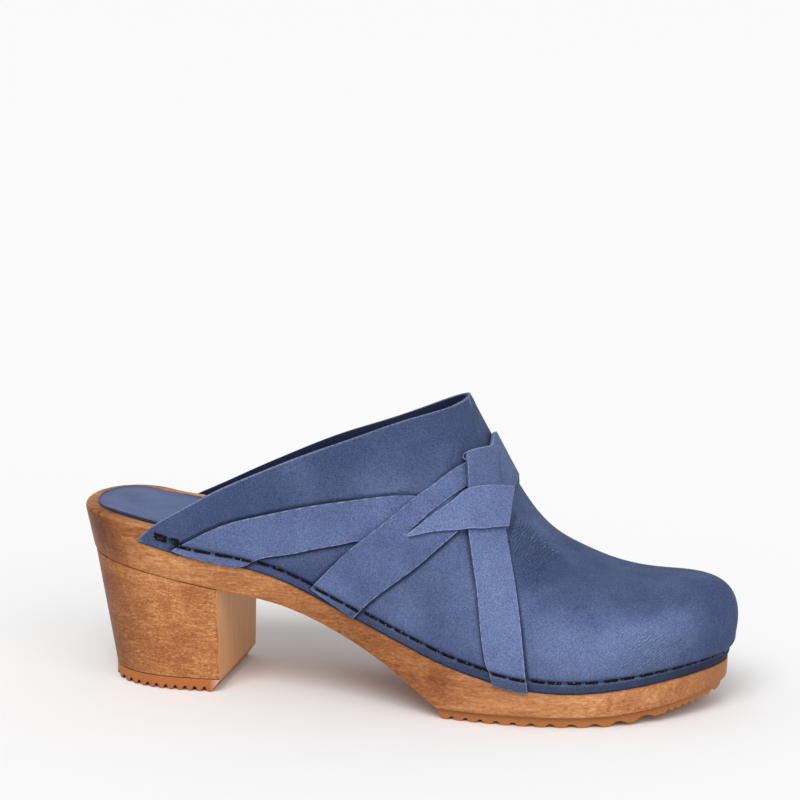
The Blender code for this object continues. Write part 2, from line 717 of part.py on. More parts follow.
def centre_on_floor(root):
    """Put the middle of the clog's length and width over the origin, by moving the parent."""
    points = np.array([v.co for thing in root.children for v in thing.data.vertices])
    low, high = points.min(axis=0), points.max(axis=0)
    root.location = (-0.5 * (low[0] + high[0]), -0.5 * (low[1] + high[1]), -low[2])


def main():
    for thing in list(bpy.data.objects):
        bpy.data.objects.remove(thing, do_unlink=True)
    group = bpy.data.collections.new(OBJECT_NAME)
    bpy.context.scene.collection.children.link(group)
    root = bpy.data.objects.new(OBJECT_NAME, None)
    group.objects.link(root)
    alder = new_material("oiled_alder", (0.46, 0.19, 0.075), 0.5)
    heel_alder = new_material("heel_alder", (0.47, 0.19, 0.076), 0.5)
    lift_rubber = new_material("lift_rubber", (0.41, 0.145, 0.05), 0.6)
    tread_rubber = new_material("tread_rubber", (0.41, 0.16, 0.06), 0.6)
    sock_leather = new_material("sock_leather", (0.12, 0.155, 0.28), 0.75)
    nubuck = new_material("nubuck", (0.10, 0.135, 0.275), 0.85)
    rear_leather = new_material("rear_strap_nubuck", (0.128, 0.17, 0.335), 0.85)
    cross_leather = new_material("cross_strap_nubuck", (0.125, 0.165, 0.33), 0.85)
    front_leather = new_material("front_strap_nubuck", (0.145, 0.19, 0.36), 0.85)
    wrap_leather = new_material("wrap_nubuck", (0.125, 0.165, 0.315), 0.85)
    tail_leather = new_material("tail_nubuck", (0.145, 0.19, 0.365), 0.85)
    build_sole(alder)
    build_heel(heel_alder)
    build_lift(lift_rubber)
    build_outsole(tread_rubber)
    build_insole(sock_leather)
    build_upper(nubuck)
    build_plain_strap("strap_rear", STRAP_REAR, 18, 4, rear_leather)
    build_cross_strap(cross_leather)
    build_plain_strap("strap_front", STRAP_FRONT, 20, 4, front_leather)
    build_plain_strap("knot_wrap", KNOT_WRAP, 30, 4, wrap_leather)
    build_plain_strap("knot_tail", KNOT_TAIL, 18, 4, tail_leather)
    centre_on_floor(root)


if __name__ == "__main__":
    main()
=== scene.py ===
import json
import math
import random

import bpy
import numpy as np
from mathutils import Matrix, Vector
from mathutils.bvhtree import BVHTree
from mathutils.kdtree import KDTree

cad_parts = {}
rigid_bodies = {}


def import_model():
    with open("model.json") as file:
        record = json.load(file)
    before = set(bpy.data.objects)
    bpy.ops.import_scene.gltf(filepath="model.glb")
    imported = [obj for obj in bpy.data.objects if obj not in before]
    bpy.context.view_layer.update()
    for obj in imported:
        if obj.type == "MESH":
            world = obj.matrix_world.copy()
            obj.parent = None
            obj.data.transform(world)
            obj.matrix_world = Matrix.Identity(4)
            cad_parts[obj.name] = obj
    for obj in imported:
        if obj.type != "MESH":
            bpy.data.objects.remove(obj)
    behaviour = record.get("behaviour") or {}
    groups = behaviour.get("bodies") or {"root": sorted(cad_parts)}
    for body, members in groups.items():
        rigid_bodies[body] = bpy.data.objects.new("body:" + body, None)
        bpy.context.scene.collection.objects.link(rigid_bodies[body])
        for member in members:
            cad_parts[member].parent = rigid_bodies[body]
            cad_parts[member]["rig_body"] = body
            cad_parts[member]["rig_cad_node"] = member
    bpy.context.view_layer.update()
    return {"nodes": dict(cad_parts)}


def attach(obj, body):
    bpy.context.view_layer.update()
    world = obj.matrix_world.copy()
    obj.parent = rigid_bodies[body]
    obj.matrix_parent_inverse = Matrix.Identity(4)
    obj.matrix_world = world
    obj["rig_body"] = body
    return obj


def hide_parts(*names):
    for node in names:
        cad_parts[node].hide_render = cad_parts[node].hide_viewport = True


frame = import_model()
mm = 0.001
print("frame loaded with", len(frame["nodes"]), "nodes")


# small helpers for materials

def hexColour(text):
    parts = [int(text[i:i + 2], 16) / 255 for i in (1, 3, 5)]
    return tuple(c / 12.92 if c <= 0.04045 else ((c + 0.055) / 1.055) ** 2.4 for c in parts) + (1.0,)


def perMm(size):  # texture scale whose cells are size millimetres wide
    return 1.0 / (size * mm)


def fillInputs(tree, node, inputs):  # a socket is linked, a value is set
    for name, value in inputs.items():
        if isinstance(value, bpy.types.NodeSocket):
            tree.links.new(value, node.inputs[name])
        else:
            node.inputs[name].default_value = value


def addNode(tree, kind, output, inputs=None, **settings):  # gives back the socket of that output
    node = tree.nodes.new("ShaderNode" + kind)
    for name, value in settings.items():
        setattr(node, name, value)
    fillInputs(tree, node, inputs or {})
    return node.outputs[output]


def startMaterial(name):
    material = bpy.data.materials.new(name)
    material.use_nodes = True
    tree = material.node_tree
    return material, tree, tree.nodes["Principled BSDF"]


# small helpers for objects and edit mode

def pickOnly(piece):
    bpy.ops.object.select_all(action="DESELECT")
    piece.select_set(True)
    bpy.context.view_layer.objects.active = piece


def editMode(piece, selectAll=False):
    pickOnly(piece)
    bpy.ops.object.mode_set(mode="EDIT")
    bpy.ops.mesh.select_all(action="SELECT" if selectAll else "DESELECT")


def objectMode():
    bpy.ops.object.mode_set(mode="OBJECT")


def pickFaces(piece, test):  # stays in edit mode, with the faces that pass the test selected
    editMode(piece)
    bpy.ops.mesh.select_mode(type="FACE")
    objectMode()
    for face in piece.data.polygons:
        face.select = test(face)
    bpy.ops.object.mode_set(mode="EDIT")


def smoothFaces(piece):
    editMode(piece, selectAll=True)
    bpy.ops.mesh.faces_shade_smooth()
    objectMode()


def useModifier(piece, kind, **settings):
    pickOnly(piece)
    modifier = piece.modifiers.new(kind.title(), kind)
    for name, value in settings.items():
        setattr(modifier, name, value)
    bpy.ops.object.modifier_apply(modifier=modifier.name)


def subdivided(piece, levels):
    useModifier(piece, "SUBSURF", levels=levels, render_levels=levels, boundary_smooth="PRESERVE_CORNERS")


def namedActive(name):
    piece = bpy.context.active_object
    piece.name = name
    piece.data.name = name
    return piece


def copyPiece(source, name):
    pickOnly(source)
    bpy.ops.object.duplicate()
    return namedActive(name)


nodeMerge = {"distance": 0.02, "faceAngle": 50.0, "shapeAngle": 70.0}


def pieceFromNode(nodeName, pieceName):  # a node's loose triangles, merged and turned back into quads
    piece = copyPiece(frame["nodes"][nodeName], pieceName)
    piece.parent = None
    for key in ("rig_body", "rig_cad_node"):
        del piece[key]
    piece.data.materials.clear()
    editMode(piece, selectAll=True)
    bpy.ops.mesh.customdata_custom_splitnormals_clear()
    bpy.ops.mesh.remove_doubles(threshold=nodeMerge["distance"] * mm)
    bpy.ops.mesh.tris_convert_to_quads(face_threshold=math.radians(nodeMerge["faceAngle"]),
                                       shape_threshold=math.radians(nodeMerge["shapeAngle"]))
    bpy.ops.mesh.faces_shade_smooth()
    objectMode()
    return piece


def readPoints(piece):
    values = np.empty(len(piece.data.vertices) * 3)
    piece.data.vertices.foreach_get("co", values)
    return values.reshape(-1, 3)


def readNormals(piece):
    values = np.empty(len(piece.data.vertices) * 3)
    piece.data.vertex_normals.foreach_get("vector", values)
    return values.reshape(-1, 3)


def writePoints(piece, points):
    piece.data.vertices.foreach_set("co", np.asarray(points).ravel())
    piece.data.update()


def writeAttribute(piece, name, values):  # one value for each point, or the same for all
    attribute = piece.data.attributes.new(name, "FLOAT", "POINT")
    attribute.data.foreach_set("value", np.full(len(piece.data.vertices), values, np.float32))


def nearest(points, targets):  # index of and distance to the closest target of each point
    tree = KDTree(len(targets))
    for i, target in enumerate(targets):
        tree.insert(target, i)
    tree.balance()
    found = [tree.find(point) for point in points]
    return np.array([f[1] for f in found]), np.array([f[2] for f in found])


def reachTo(points, targets):  # distance to the closest target of each point, in millimetres
    return nearest(points, targets)[1] / mm


def selectSharp(piece, sharpAngle):
    editMode(piece)
    bpy.ops.mesh.select_mode(type="EDGE")
    bpy.ops.mesh.edges_select_sharp(sharpness=math.radians(sharpAngle))
    objectMode()


def sharpPoints(piece, sharpAngle, perEdge=6):  # points strung along the sharp edges
    selectSharp(piece, sharpAngle)
    corners = readPoints(piece)
    ends = [(corners[e.vertices[0]], corners[e.vertices[1]]) for e in piece.data.edges if e.select]
    return np.array([a + (b - a) * t for a, b in ends for t in np.linspace(0.0, 1.0, perEdge)])


def softEdges(piece, edges, crisp=None):  # rounds sharp edges but not at crisp points, smooths the rest
    selectSharp(piece, edges["sharp"])
    if crisp is not None:
        corners = readPoints(piece)
        picked = [edge for edge in piece.data.edges if edge.select]
        middles = [0.5 * (corners[e.vertices[0]] + corners[e.vertices[1]]) for e in picked]
        for edge, reach in zip(picked, reachTo(middles, crisp)):
            edge.select = reach > edges["crispReach"]
    bpy.ops.object.mode_set(mode="EDIT")
    bpy.ops.mesh.bevel(offset=edges["width"] * mm, segments=edges["segments"], profile=0.5, affect="EDGES",
                       clamp_overlap=True)
    objectMode()
    if crisp is not None:
        selectSharp(piece, edges["sharp"])
        bpy.ops.object.mode_set(mode="EDIT")
        bpy.ops.transform.edge_crease(value=1.0)
        objectMode()
    if edges["levels"]:
        subdivided(piece, edges["levels"])


def placePiece(piece, material, slot, *nodes):
    piece.data.materials.clear()
    piece.data.materials.append(material)
    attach(piece, "root")
    if nodes:
        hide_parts(*nodes)


# small helpers for curves and fades

def smoothStep(values, start, end):
    t = np.clip((np.asarray(values) - start) / (end - start), 0.0, 1.0)
    return t * t * (3.0 - 2.0 * t)


def fadeOut(values, start, end):
    return 1.0 - smoothStep(values, start, end)


def bell(values, width, middle=0.0):
    return np.exp(-((values - middle) / width) ** 2)


def unit(vectors):
    return vectors / np.linalg.norm(vectors, axis=1)[:, None]


def smoothed(values, rounds):  # running average along a line, ends kept
    values = np.array(values)
    for _ in range(rounds):
        values[1:-1] = 0.25 * values[:-2] + 0.5 * values[1:-1] + 0.25 * values[2:]
    return values


def runAlong(points):  # how far along a polyline each of its points lies
    return np.concatenate([[0.0], np.cumsum(np.linalg.norm(np.diff(points, axis=0), axis=1))])


def evenly(points, step):  # a polyline resampled at even distances
    run = runAlong(points)
    at = np.arange(0.0, run[-1], step)
    return np.stack([np.interp(at, run, points[:, k]) for k in range(3)], axis=1)


def handLine(line, step):  # a line set by hand in millimetres, resampled
    return evenly(np.array(line) * mm, step * mm)


def surfaceTree(*pieces):
    points, faces = [], []
    for piece in pieces:
        base = len(points)
        points += [v.co.copy() for v in piece.data.vertices]
        faces += [[base + i for i in face.vertices] for face in piece.data.polygons]
    return BVHTree.FromPolygons(points, faces)


# materials

def nubuckMaterial(name, look):
    # buffed leather: no gloss, a cloudy mottled nap, paler where rubbed and where a highlight is painted,
    # fibrous where cut, with painted shade in grooves and painted light and shade along folds;
    # real nap is too fine to show, so its grain and specks are drawn coarser
    material, tree, shader = startMaterial(name)
    where = addNode(tree, "TexCoord", "Object")
    cloud = addNode(tree, "TexNoise", "Fac", {
        "Vector": where, "Scale": perMm(look["cloudMm"]), "Detail": 4.0, "Roughness": 0.6})
    grain = addNode(tree, "TexNoise", "Fac", {
        "Vector": where, "Scale": perMm(look["grainMm"]), "Detail": 3.0, "Roughness": 0.6})
    nap = addNode(tree, "TexNoise", "Fac", {
        "Vector": where, "Scale": perMm(look["napMm"]), "Detail": 2.0, "Roughness": 0.7})
    uneven = addNode(tree, "TexNoise", "Fac", {
        "Vector": where, "Scale": perMm(look["unevenMm"]), "Detail": 2.0})
    rubbedAndLit, wrinkled, across, cut, paintedShade = [
        addNode(tree, "Attribute", "Fac", attribute_name=attribute)
        for attribute in ("rubbedAndLit", "wrinkled", "foldRun", "cutEdge", "paintedShade")]

    # cloudy ground colour
    cloudy = addNode(tree, "MapRange", "Result", {
        "Value": cloud, "From Min": 0.3, "From Max": 0.7,
        "To Min": -look["clouds"], "To Max": look["clouds"]})
    tone = addNode(tree, "Math", "Value", {0: rubbedAndLit, 1: cloudy}, operation="ADD", use_clamp=True)
    base = addNode(tree, "Mix", "Result", {
        "Factor": tone, "A": hexColour(look["dark"]), "B": hexColour(look["light"])}, data_type="RGBA")

    # fine folds that wander and break off
    wander = addNode(tree, "Math", "Value", {
        0: uneven, 1: look["uneven"], 2: across}, operation="MULTIPLY_ADD")
    phase = addNode(tree, "Math", "Value", {
        0: wander, 1: 2.0 * math.pi / look["foldMm"]}, operation="MULTIPLY")
    waves = addNode(tree, "Math", "Value", {0: phase}, operation="SINE")
    broken = addNode(tree, "MapRange", "Result", {"Value": cloud, "From Min": 0.25, "From Max": 0.5})
    strength = addNode(tree, "Math", "Value", {0: wrinkled, 1: broken}, operation="MULTIPLY")
    folds = addNode(tree, "Math", "Value", {0: waves, 1: strength}, operation="MULTIPLY")

    # speckled nap, with painted light and shade along the folds
    specks = addNode(tree, "Math", "Value", {0: grain, 1: nap}, operation="ADD")
    speckle = addNode(tree, "MapRange", "Result", {
        "Value": specks, "From Min": 0.75, "From Max": 1.25,
        "To Min": 1.0 - look["speckle"], "To Max": 1.0 + look["speckle"]})
    speckleAndFoldShade = addNode(tree, "Math", "Value", {
        0: folds, 1: look["foldTone"], 2: speckle}, operation="MULTIPLY_ADD")
    napped = addNode(tree, "VectorMath", "Vector", {0: base, "Scale": speckleAndFoldShade}, operation="SCALE")

    # pale fibres along cut edges, painted shade in grooves
    frayed = addNode(tree, "MapRange", "Result", {
        "Value": grain, "From Min": 0.35, "From Max": 0.6,
        "To Min": look["edge"] * look["edgeLeast"], "To Max": look["edge"]})
    fibres = addNode(tree, "Math", "Value", {0: cut, 1: frayed}, operation="MULTIPLY")
    worn = addNode(tree, "Mix", "Result", {
        "Factor": fibres, "A": napped, "B": hexColour(look["fibre"])}, data_type="RGBA")
    shaded = addNode(tree, "MapRange", "Result", {
        "Value": paintedShade, "To Min": 1.0, "To Max": 1.0 - look["shade"]})
    sunk = addNode(tree, "VectorMath", "Vector", {0: worn, "Scale": shaded}, operation="SCALE")

    creased = addNode(tree, "Bump", "Normal", {
        "Height": folds, "Strength": 1.0, "Distance": look["foldDepth"] * mm})
    pebble = addNode(tree, "Bump", "Normal", {
        "Height": grain, "Strength": look["grainBump"], "Distance": look["grainDepth"] * mm,
        "Normal": creased})
    fuzz = addNode(tree, "Bump", "Normal", {
        "Height": nap, "Strength": look["napBump"], "Distance": look["napDepth"] * mm, "Normal": pebble})
    fillInputs(tree, shader, {
        "Base Color": sunk, "Normal": fuzz, "Roughness": look["roughness"],
        "Specular IOR Level": look["specular"], "Sheen Weight": look["sheen"], "Sheen Roughness": 0.5,
        "Sheen Tint": hexColour(look["fibre"])})
    return material


def alderMaterial(name, look):
    # oiled alder: warm orange brown with streaks, fine curly flecks, redder patches and swirly knots;
    # its pores and fibres are too fine to show, so they are drawn coarser
    material, tree, shader = startMaterial(name)
    where = addNode(tree, "TexCoord", "Object")
    along, curly, fine, upright = [
        addNode(tree, "Mapping", "Vector", {"Vector": where, "Scale": [1.0 / s for s in look[stretch]]})
        for stretch in ("streakStretch", "fleckStretch", "fibreStretch", "sawStretch")]
    streaks = addNode(tree, "TexNoise", "Fac", {
        "Vector": along, "Scale": perMm(look["streakMm"]), "Detail": 3.0, "Distortion": 0.8})
    flecks = addNode(tree, "TexNoise", "Fac", {
        "Vector": curly, "Scale": perMm(look["fleckMm"]), "Detail": 3.0, "Roughness": 0.7,
        "Distortion": look["curl"]})
    fibres = addNode(tree, "TexNoise", "Fac", {
        "Vector": fine, "Scale": perMm(look["fibreMm"]), "Detail": 3.0, "Roughness": 0.55})
    patch = addNode(tree, "TexNoise", "Fac", {
        "Vector": along, "Scale": perMm(look["patchMm"]), "Detail": 2.0, "Distortion": 1.0})
    sawLines = addNode(tree, "TexNoise", "Fac", {
        "Vector": upright, "Scale": perMm(look["sawMm"]), "Detail": 3.0})
    endGrain, sawn, level = [
        addNode(tree, "Attribute", "Fac", attribute_name=attribute)
        for attribute in ("endGrain", "sawnFace", "woodTone")]

    # the grain: three patterns added up, calmer on end grain
    tone, spread = 0.0, 0.0
    for pattern, share in ((streaks, look["streaks"]), (flecks, look["flecks"]), (fibres, look["fibres"])):
        tone = addNode(tree, "Math", "Value", {0: pattern, 1: share, 2: tone}, operation="MULTIPLY_ADD")
        spread += share
    contrast = addNode(tree, "MapRange", "Result", {
        "Value": tone, "From Min": (0.5 - look["soft"]) * spread,
        "From Max": (0.5 + look["soft"]) * spread})
    calmed = addNode(tree, "Mix", "Result", {
        "Factor": endGrain, "A": contrast, "B": look["endTone"]}, data_type="FLOAT")
    ramp = addNode(tree, "ValToRGB", "Color", {"Fac": calmed})
    stops = ramp.node.color_ramp.elements
    stops[0].color = hexColour(look["dark"])
    stops[1].color = hexColour(look["light"])
    middle = stops.new(0.5)
    middle.color = hexColour(look["mid"])
    redder = addNode(tree, "MapRange", "Result", {
        "Value": patch, "From Min": 0.47, "From Max": 0.72,
        "To Max": look["patches"]}, interpolation_type="SMOOTHSTEP")
    shade = addNode(tree, "Mix", "Result", {
        "Factor": redder, "A": ramp, "B": hexColour(look["red"])}, data_type="RGBA")

    # knots: dark spots with wavy rings round an eye
    for spot, radius, darkness, eye in look["knots"]:
        away, wavy = [
            addNode(tree, "VectorMath", "Value", {
                0: where, 1: [c * mm for c in centre]}, operation="DISTANCE") for centre in (spot, eye)]
        for pattern, shift in ((streaks, look["streakWander"]), (flecks, look["fleckWander"])):
            wavy = addNode(tree, "Math", "Value", {
                0: pattern, 1: shift * mm, 2: wavy}, operation="MULTIPLY_ADD")
        phase = addNode(tree, "Math", "Value", {
            0: wavy, 1: perMm(look["ringMm"]) * 2.0 * math.pi}, operation="MULTIPLY")
        rings = addNode(tree, "Math", "Value", {0: phase}, operation="SINE")
        reach = addNode(tree, "MapRange", "Result", {
            "Value": away, "From Min": look["knotCore"] * radius * mm, "From Max": radius * mm,
            "To Min": darkness, "To Max": 0.0}, interpolation_type="SMOOTHSTEP")
        ringed = addNode(tree, "Math", "Value", {0: rings, 1: reach}, operation="MULTIPLY")
        depth = addNode(tree, "Math", "Value", {
            0: ringed, 1: look["ringDepth"], 2: reach}, operation="MULTIPLY_ADD", use_clamp=True)
        shade = addNode(tree, "Mix", "Result", {
            "Factor": depth, "A": shade, "B": hexColour(look["knot"])}, data_type="RGBA")

    # the sawn breast, then the wood's tone, partly its own oiled colour and partly painted light and shade,
    # which changes blue most and red least
    sawnColour = addNode(tree, "Mix", "Result", {
        "Factor": sawLines, "A": hexColour(look["sawnDark"]),
        "B": hexColour(look["sawnLight"])}, data_type="RGBA")
    faced = addNode(tree, "Mix", "Result", {"Factor": sawn, "A": shade, "B": sawnColour}, data_type="RGBA")
    toneByChannel = {axis: addNode(tree, "Math", "Value", {0: level, 1: power}, operation="POWER")
           for axis, power in zip("XYZ", look["toneByChannel"])}
    toneColour = addNode(tree, "CombineXYZ", "Vector", toneByChannel)
    lit = addNode(tree, "VectorMath", "Vector", {0: faced, 1: toneColour}, operation="MULTIPLY")
    rough = addNode(tree, "MapRange", "Result", {
        "Value": flecks, "To Min": look["roughness"][0], "To Max": look["roughness"][1]})
    bump = addNode(tree, "Bump", "Normal", {"Height": fibres, "Strength": 0.12, "Distance": 0.25 * mm})
    fillInputs(tree, shader, {
        "Base Color": lit, "Roughness": rough, "Normal": bump, "IOR": 1.48, "Specular IOR Level": 0.3})
    return material


def rubberMaterial(name, look):
    # moulded crepe-coloured rubber: dull, slightly dusty, with a fine moulding grain, drawn coarser to show
    material, tree, shader = startMaterial(name)
    where = addNode(tree, "TexCoord", "Object")
    dust = addNode(tree, "TexNoise", "Fac", {
        "Vector": where, "Scale": perMm(look["dustMm"]), "Detail": 4.0, "Roughness": 0.6})
    grit = addNode(tree, "TexNoise", "Fac", {
        "Vector": where, "Scale": perMm(look["gritMm"]), "Detail": 2.0})
    cut = addNode(tree, "Attribute", "Fac", attribute_name="cutFace")
    colour = addNode(tree, "Mix", "Result", {
        "Factor": dust, "A": hexColour(look["dark"]), "B": hexColour(look["light"])}, data_type="RGBA")
    faced = addNode(tree, "Mix", "Result", {
        "Factor": cut, "A": colour, "B": hexColour(look["cut"])}, data_type="RGBA")
    bump = addNode(tree, "Bump", "Normal", {"Height": grit, "Strength": 0.2, "Distance": 0.2 * mm})
    fillInputs(tree, shader, {
        "Base Color": faced, "Normal": bump, "Roughness": look["roughness"], "Specular IOR Level": 0.3})
    return material


def liningMaterial(name, look):
    # smooth split-leather lining, nearly black in the shade of the shoe, its pores drawn coarser to show
    material, tree, shader = startMaterial(name)
    where = addNode(tree, "TexCoord", "Object")
    grain = addNode(tree, "TexNoise", "Fac", {
        "Vector": where, "Scale": perMm(look["grainMm"]), "Detail": 3.0})
    colour = addNode(tree, "Mix", "Result", {
        "Factor": grain, "A": hexColour(look["dark"]), "B": hexColour(look["light"])}, data_type="RGBA")
    bump = addNode(tree, "Bump", "Normal", {"Height": grain, "Strength": 0.25, "Distance": 0.2 * mm})
    fillInputs(tree, shader, {
        "Base Color": colour, "Normal": bump, "Roughness": look["roughness"], "Specular IOR Level": 0.1})
    return material


def stapleMaterial(name, look):
    # blackened steel wire: dark, with a few painted glints as bright spots
    material, tree, shader = startMaterial(name)
    where = addNode(tree, "TexCoord", "Object")
    glintNoise = addNode(tree, "TexNoise", "Fac", {"Vector": where, "Scale": perMm(look["glintMm"]), "Detail": 2.0})
    rubbedAndLit = addNode(tree, "MapRange", "Result", {"Value": glintNoise, "From Min": 0.62, "From Max": 0.74})
    colour = addNode(tree, "Mix", "Result", {
        "Factor": rubbedAndLit, "A": hexColour(look["dark"]), "B": hexColour(look["bright"])}, data_type="RGBA")
    fillInputs(tree, shader, {"Base Color": colour, "Metallic": 0.8, "Roughness": look["roughness"]})
    return material


vampLook = {"dark": "#3d4a6e", "light": "#5f6f95", "fibre": "#a3b0cf", "cloudMm": 24.0, "clouds": 0.3,
            "grainMm": 0.6, "grainBump": 0.5, "grainDepth": 0.35, "napMm": 0.34, "napBump": 0.5,
            "napDepth": 0.15, "speckle": 0.42, "edge": 0.85, "edgeLeast": 0.35, "shade": 0.85,
            "foldMm": 1.2, "foldDepth": 0.32, "foldTone": 0.27, "unevenMm": 3.4, "uneven": 2.3,
            "roughness": 0.85, "specular": 0.2, "sheen": 0.03}
strapLook = dict(vampLook, dark="#4b587f", light="#65759e", cloudMm=18.0)
sockLook = dict(vampLook, dark="#4c5980", light="#63729a", cloudMm=14.0, clouds=0.4, speckle=0.1,
                grainBump=0.12, napBump=0.15, roughness=0.6, specular=0.35, edge=0.1)
# a knot has its middle, its radius, how dark it is and the eye that its rings go round
soleLook = {"dark": "#8a5131", "mid": "#b67a49", "light": "#d8a06e", "red": "#8f4a26", "knot": "#6e2f12",
            "sawnDark": "#c78b58", "sawnLight": "#e6af78", "sawStretch": (1.0, 1.0, 20.0), "sawMm": 1.3,
            "streakStretch": (7.0, 1.0, 1.0), "streakMm": 7.0, "streaks": 0.6,
            "fleckStretch": (2.2, 1.0, 1.0), "fleckMm": 0.75, "flecks": 1.0, "curl": 0.7,
            "fibreStretch": (12.0, 1.0, 1.0), "fibreMm": 0.9, "fibres": 0.75, "soft": 0.135, "endTone": 0.5,
            "patchMm": 16.0, "patches": 0.28, "roughness": (0.44, 0.58), "toneByChannel": (1.0, 1.4, 1.9),
            "ringMm": 3.0, "ringDepth": 0.45, "streakWander": 12.0, "fleckWander": 3.5, "knotCore": 0.1,
            "knots": [((-119.0, -21.0, 66.0), 14.0, 0.6, (-119.0, -21.0, 66.0)),
                      ((-116.0, -23.0, 57.0), 13.0, 0.55, (-141.0, -23.0, 38.0)),
                      ((22.0, -41.8, 16.0), 9.0, 0.45, (10.0, -41.8, -14.0))]}
heelLook = dict(soleLook, dark="#824826", mid="#ab6c3b", light="#d29a64", streakStretch=(1.6, 1.6, 1.0),
                streakMm=14.0, streaks=0.35, fleckStretch=(2.0, 2.0, 1.0), fleckMm=0.55, flecks=1.1,
                fibreStretch=(6.0, 6.0, 1.0), fibreMm=0.8, fibres=0.45, soft=0.125, patchMm=19.0,
                patches=0.42, knots=[((-105.0, -30.0, 30.0), 17.0, 0.3, (-135.0, -30.0, 18.0))])
liftLook = {"dark": "#a2602f", "light": "#b36c3a", "cut": "#d3aa95", "dustMm": 9.0, "gritMm": 0.6,
            "roughness": 0.62}
treadLook = dict(liftLook, dark="#a06330", light="#b27240")
liningLook = {"dark": "#181d30", "light": "#232a48", "grainMm": 0.8, "roughness": 0.8}
stapleLook = {"dark": "#0d0b0c", "bright": "#85858a", "glintMm": 0.9, "roughness": 0.45}

vampNubuck = nubuckMaterial("blueVampNubuck", vampLook)
strapNubuck = nubuckMaterial("blueStrapNubuck", strapLook)
sockLeather = nubuckMaterial("blueSockLeather", sockLook)
soleAlder = alderMaterial("oiledAlderSole", soleLook)
heelAlder = alderMaterial("oiledAlderHeel", heelLook)
liftRubber = rubberMaterial("tanLiftRubber", liftLook)
treadRubber = rubberMaterial("tanTreadRubber", treadLook)
liningLeather = liningMaterial("navyLiningLeather", liningLook)
stapleSteel = stapleMaterial("blackenedStapleSteel", stapleLook)
print("materials made")


# wood and rubber: the wood's tone follows the place along the shoe, in millimetres; it is partly the
# wood's own colour and partly painted light and shade

woodEdges = {"sharp": 40.0, "width": 0.4, "segments": 2, "levels": 2, "crispReach": 0.8}
rubberEdges = {"sharp": 35.0, "width": 0.12, "segments": 2, "levels": 0}
heelMake = {"breast": -67.95, "close": 0.28, "topFacing": 0.7, "jointLow": 38.0, "jointEnds": (-113.0, -79.0),
            "edgeTone": 0.7, "edgeBehind": 0.6, "edgeReach": (0.3, 1.1), "lean": 0.225, "top": 45.0,
            "toneAt": (-127, -117, -107, -94, -68), "tone": (0.5, 0.56, 0.84, 1.02, 1.12),
            "breastAt": (0, 45), "breastTone": (0.93, 1.22)}
soleMake = {"toneAt": (-127, -117, -107, -95, -85, -63, -45, -30, -9, 15, 40, 60, 85, 112, 127),
            "tone": (0.65, 0.52, 0.52, 0.87, 1.04, 0.91, 0.81, 0.74, 0.54, 0.7, 1.02, 1.06, 1.06, 0.86, 0.75),
            "rimTone": 0.25, "rimFacing": (0.3, 0.8), "endFacing": (0.55, 0.95), "endCalm": 0.5,
            "seamShade": 0.65, "seamReach": (0.2, 1.1)}
liftMake = {"breast": -68.6}

# the heel block's top is lifted to the sole, and their joint stays a crisp line
heelBlock = pieceFromNode("heel_block", "heelBlock")
heelEdges = sharpPoints(heelBlock, woodEdges["sharp"])
edgeX = heelEdges[:, 0] / mm
inJoint = (edgeX > heelMake["jointEnds"][0]) & (edgeX < heelMake["jointEnds"][1])
joint = heelEdges[inJoint & (heelEdges[:, 2] / mm > heelMake["jointLow"])]
pickFaces(heelBlock, lambda face: face.normal.z > heelMake["topFacing"])
bpy.ops.transform.translate(value=(0.0, 0.0, heelMake["close"] * mm))
objectMode()
softEdges(heelBlock, woodEdges, joint)
heelPoints = readPoints(heelBlock)
heelX, heelZ = heelPoints[:, 0] / mm, heelPoints[:, 2] / mm
uprightX = heelX - heelMake["lean"] * (heelMake["top"] - heelZ)
heelTone = np.interp(uprightX, heelMake["toneAt"], heelMake["tone"])
onBreast = heelX > heelMake["breast"]
# painted light towards the breast's top and painted shade towards its bottom
heelTone[onBreast] = np.interp(heelZ[onBreast], heelMake["breastAt"], heelMake["breastTone"])
edgeReach = reachTo(heelPoints, heelEdges[edgeX > heelMake["breast"] - heelMake["edgeBehind"]])
heelTone *= 1.0 - (1.0 - heelMake["edgeTone"]) * fadeOut(edgeReach, *heelMake["edgeReach"])
writeAttribute(heelBlock, "woodTone", heelTone)
writeAttribute(heelBlock, "sawnFace", onBreast)
placePiece(heelBlock, heelAlder, "heel_wood", "heel_block")

woodSole = pieceFromNode("wood_sole", "woodSole")
softEdges(woodSole, woodEdges, joint)
soleTone = np.interp(readPoints(woodSole)[:, 0] / mm, soleMake["toneAt"], soleMake["tone"])
soleFacing = readNormals(woodSole)
# painted highlight on the sole's upward faces
soleTone += soleMake["rimTone"] * smoothStep(soleFacing[:, 2], *soleMake["rimFacing"])
endGrain = smoothStep(np.abs(soleFacing[:, 0]), *soleMake["endFacing"])
writeAttribute(woodSole, "endGrain", soleMake["endCalm"] * endGrain)
placePiece(woodSole, soleAlder, "sole_wood", "wood_sole")

heelLift = pieceFromNode("heel_lift", "heelLift")
softEdges(heelLift, rubberEdges)
writeAttribute(heelLift, "cutFace", readPoints(heelLift)[:, 0] / mm > liftMake["breast"])
placePiece(heelLift, liftRubber, "heel_rubber", "heel_lift")

foreTread = pieceFromNode("forefoot_outsole", "foreTread")
softEdges(foreTread, rubberEdges)
placePiece(foreTread, treadRubber, "tread_rubber", "forefoot_outsole")


# the sock: pared thin along its back and inner edge, so that the wood's rim shows behind it

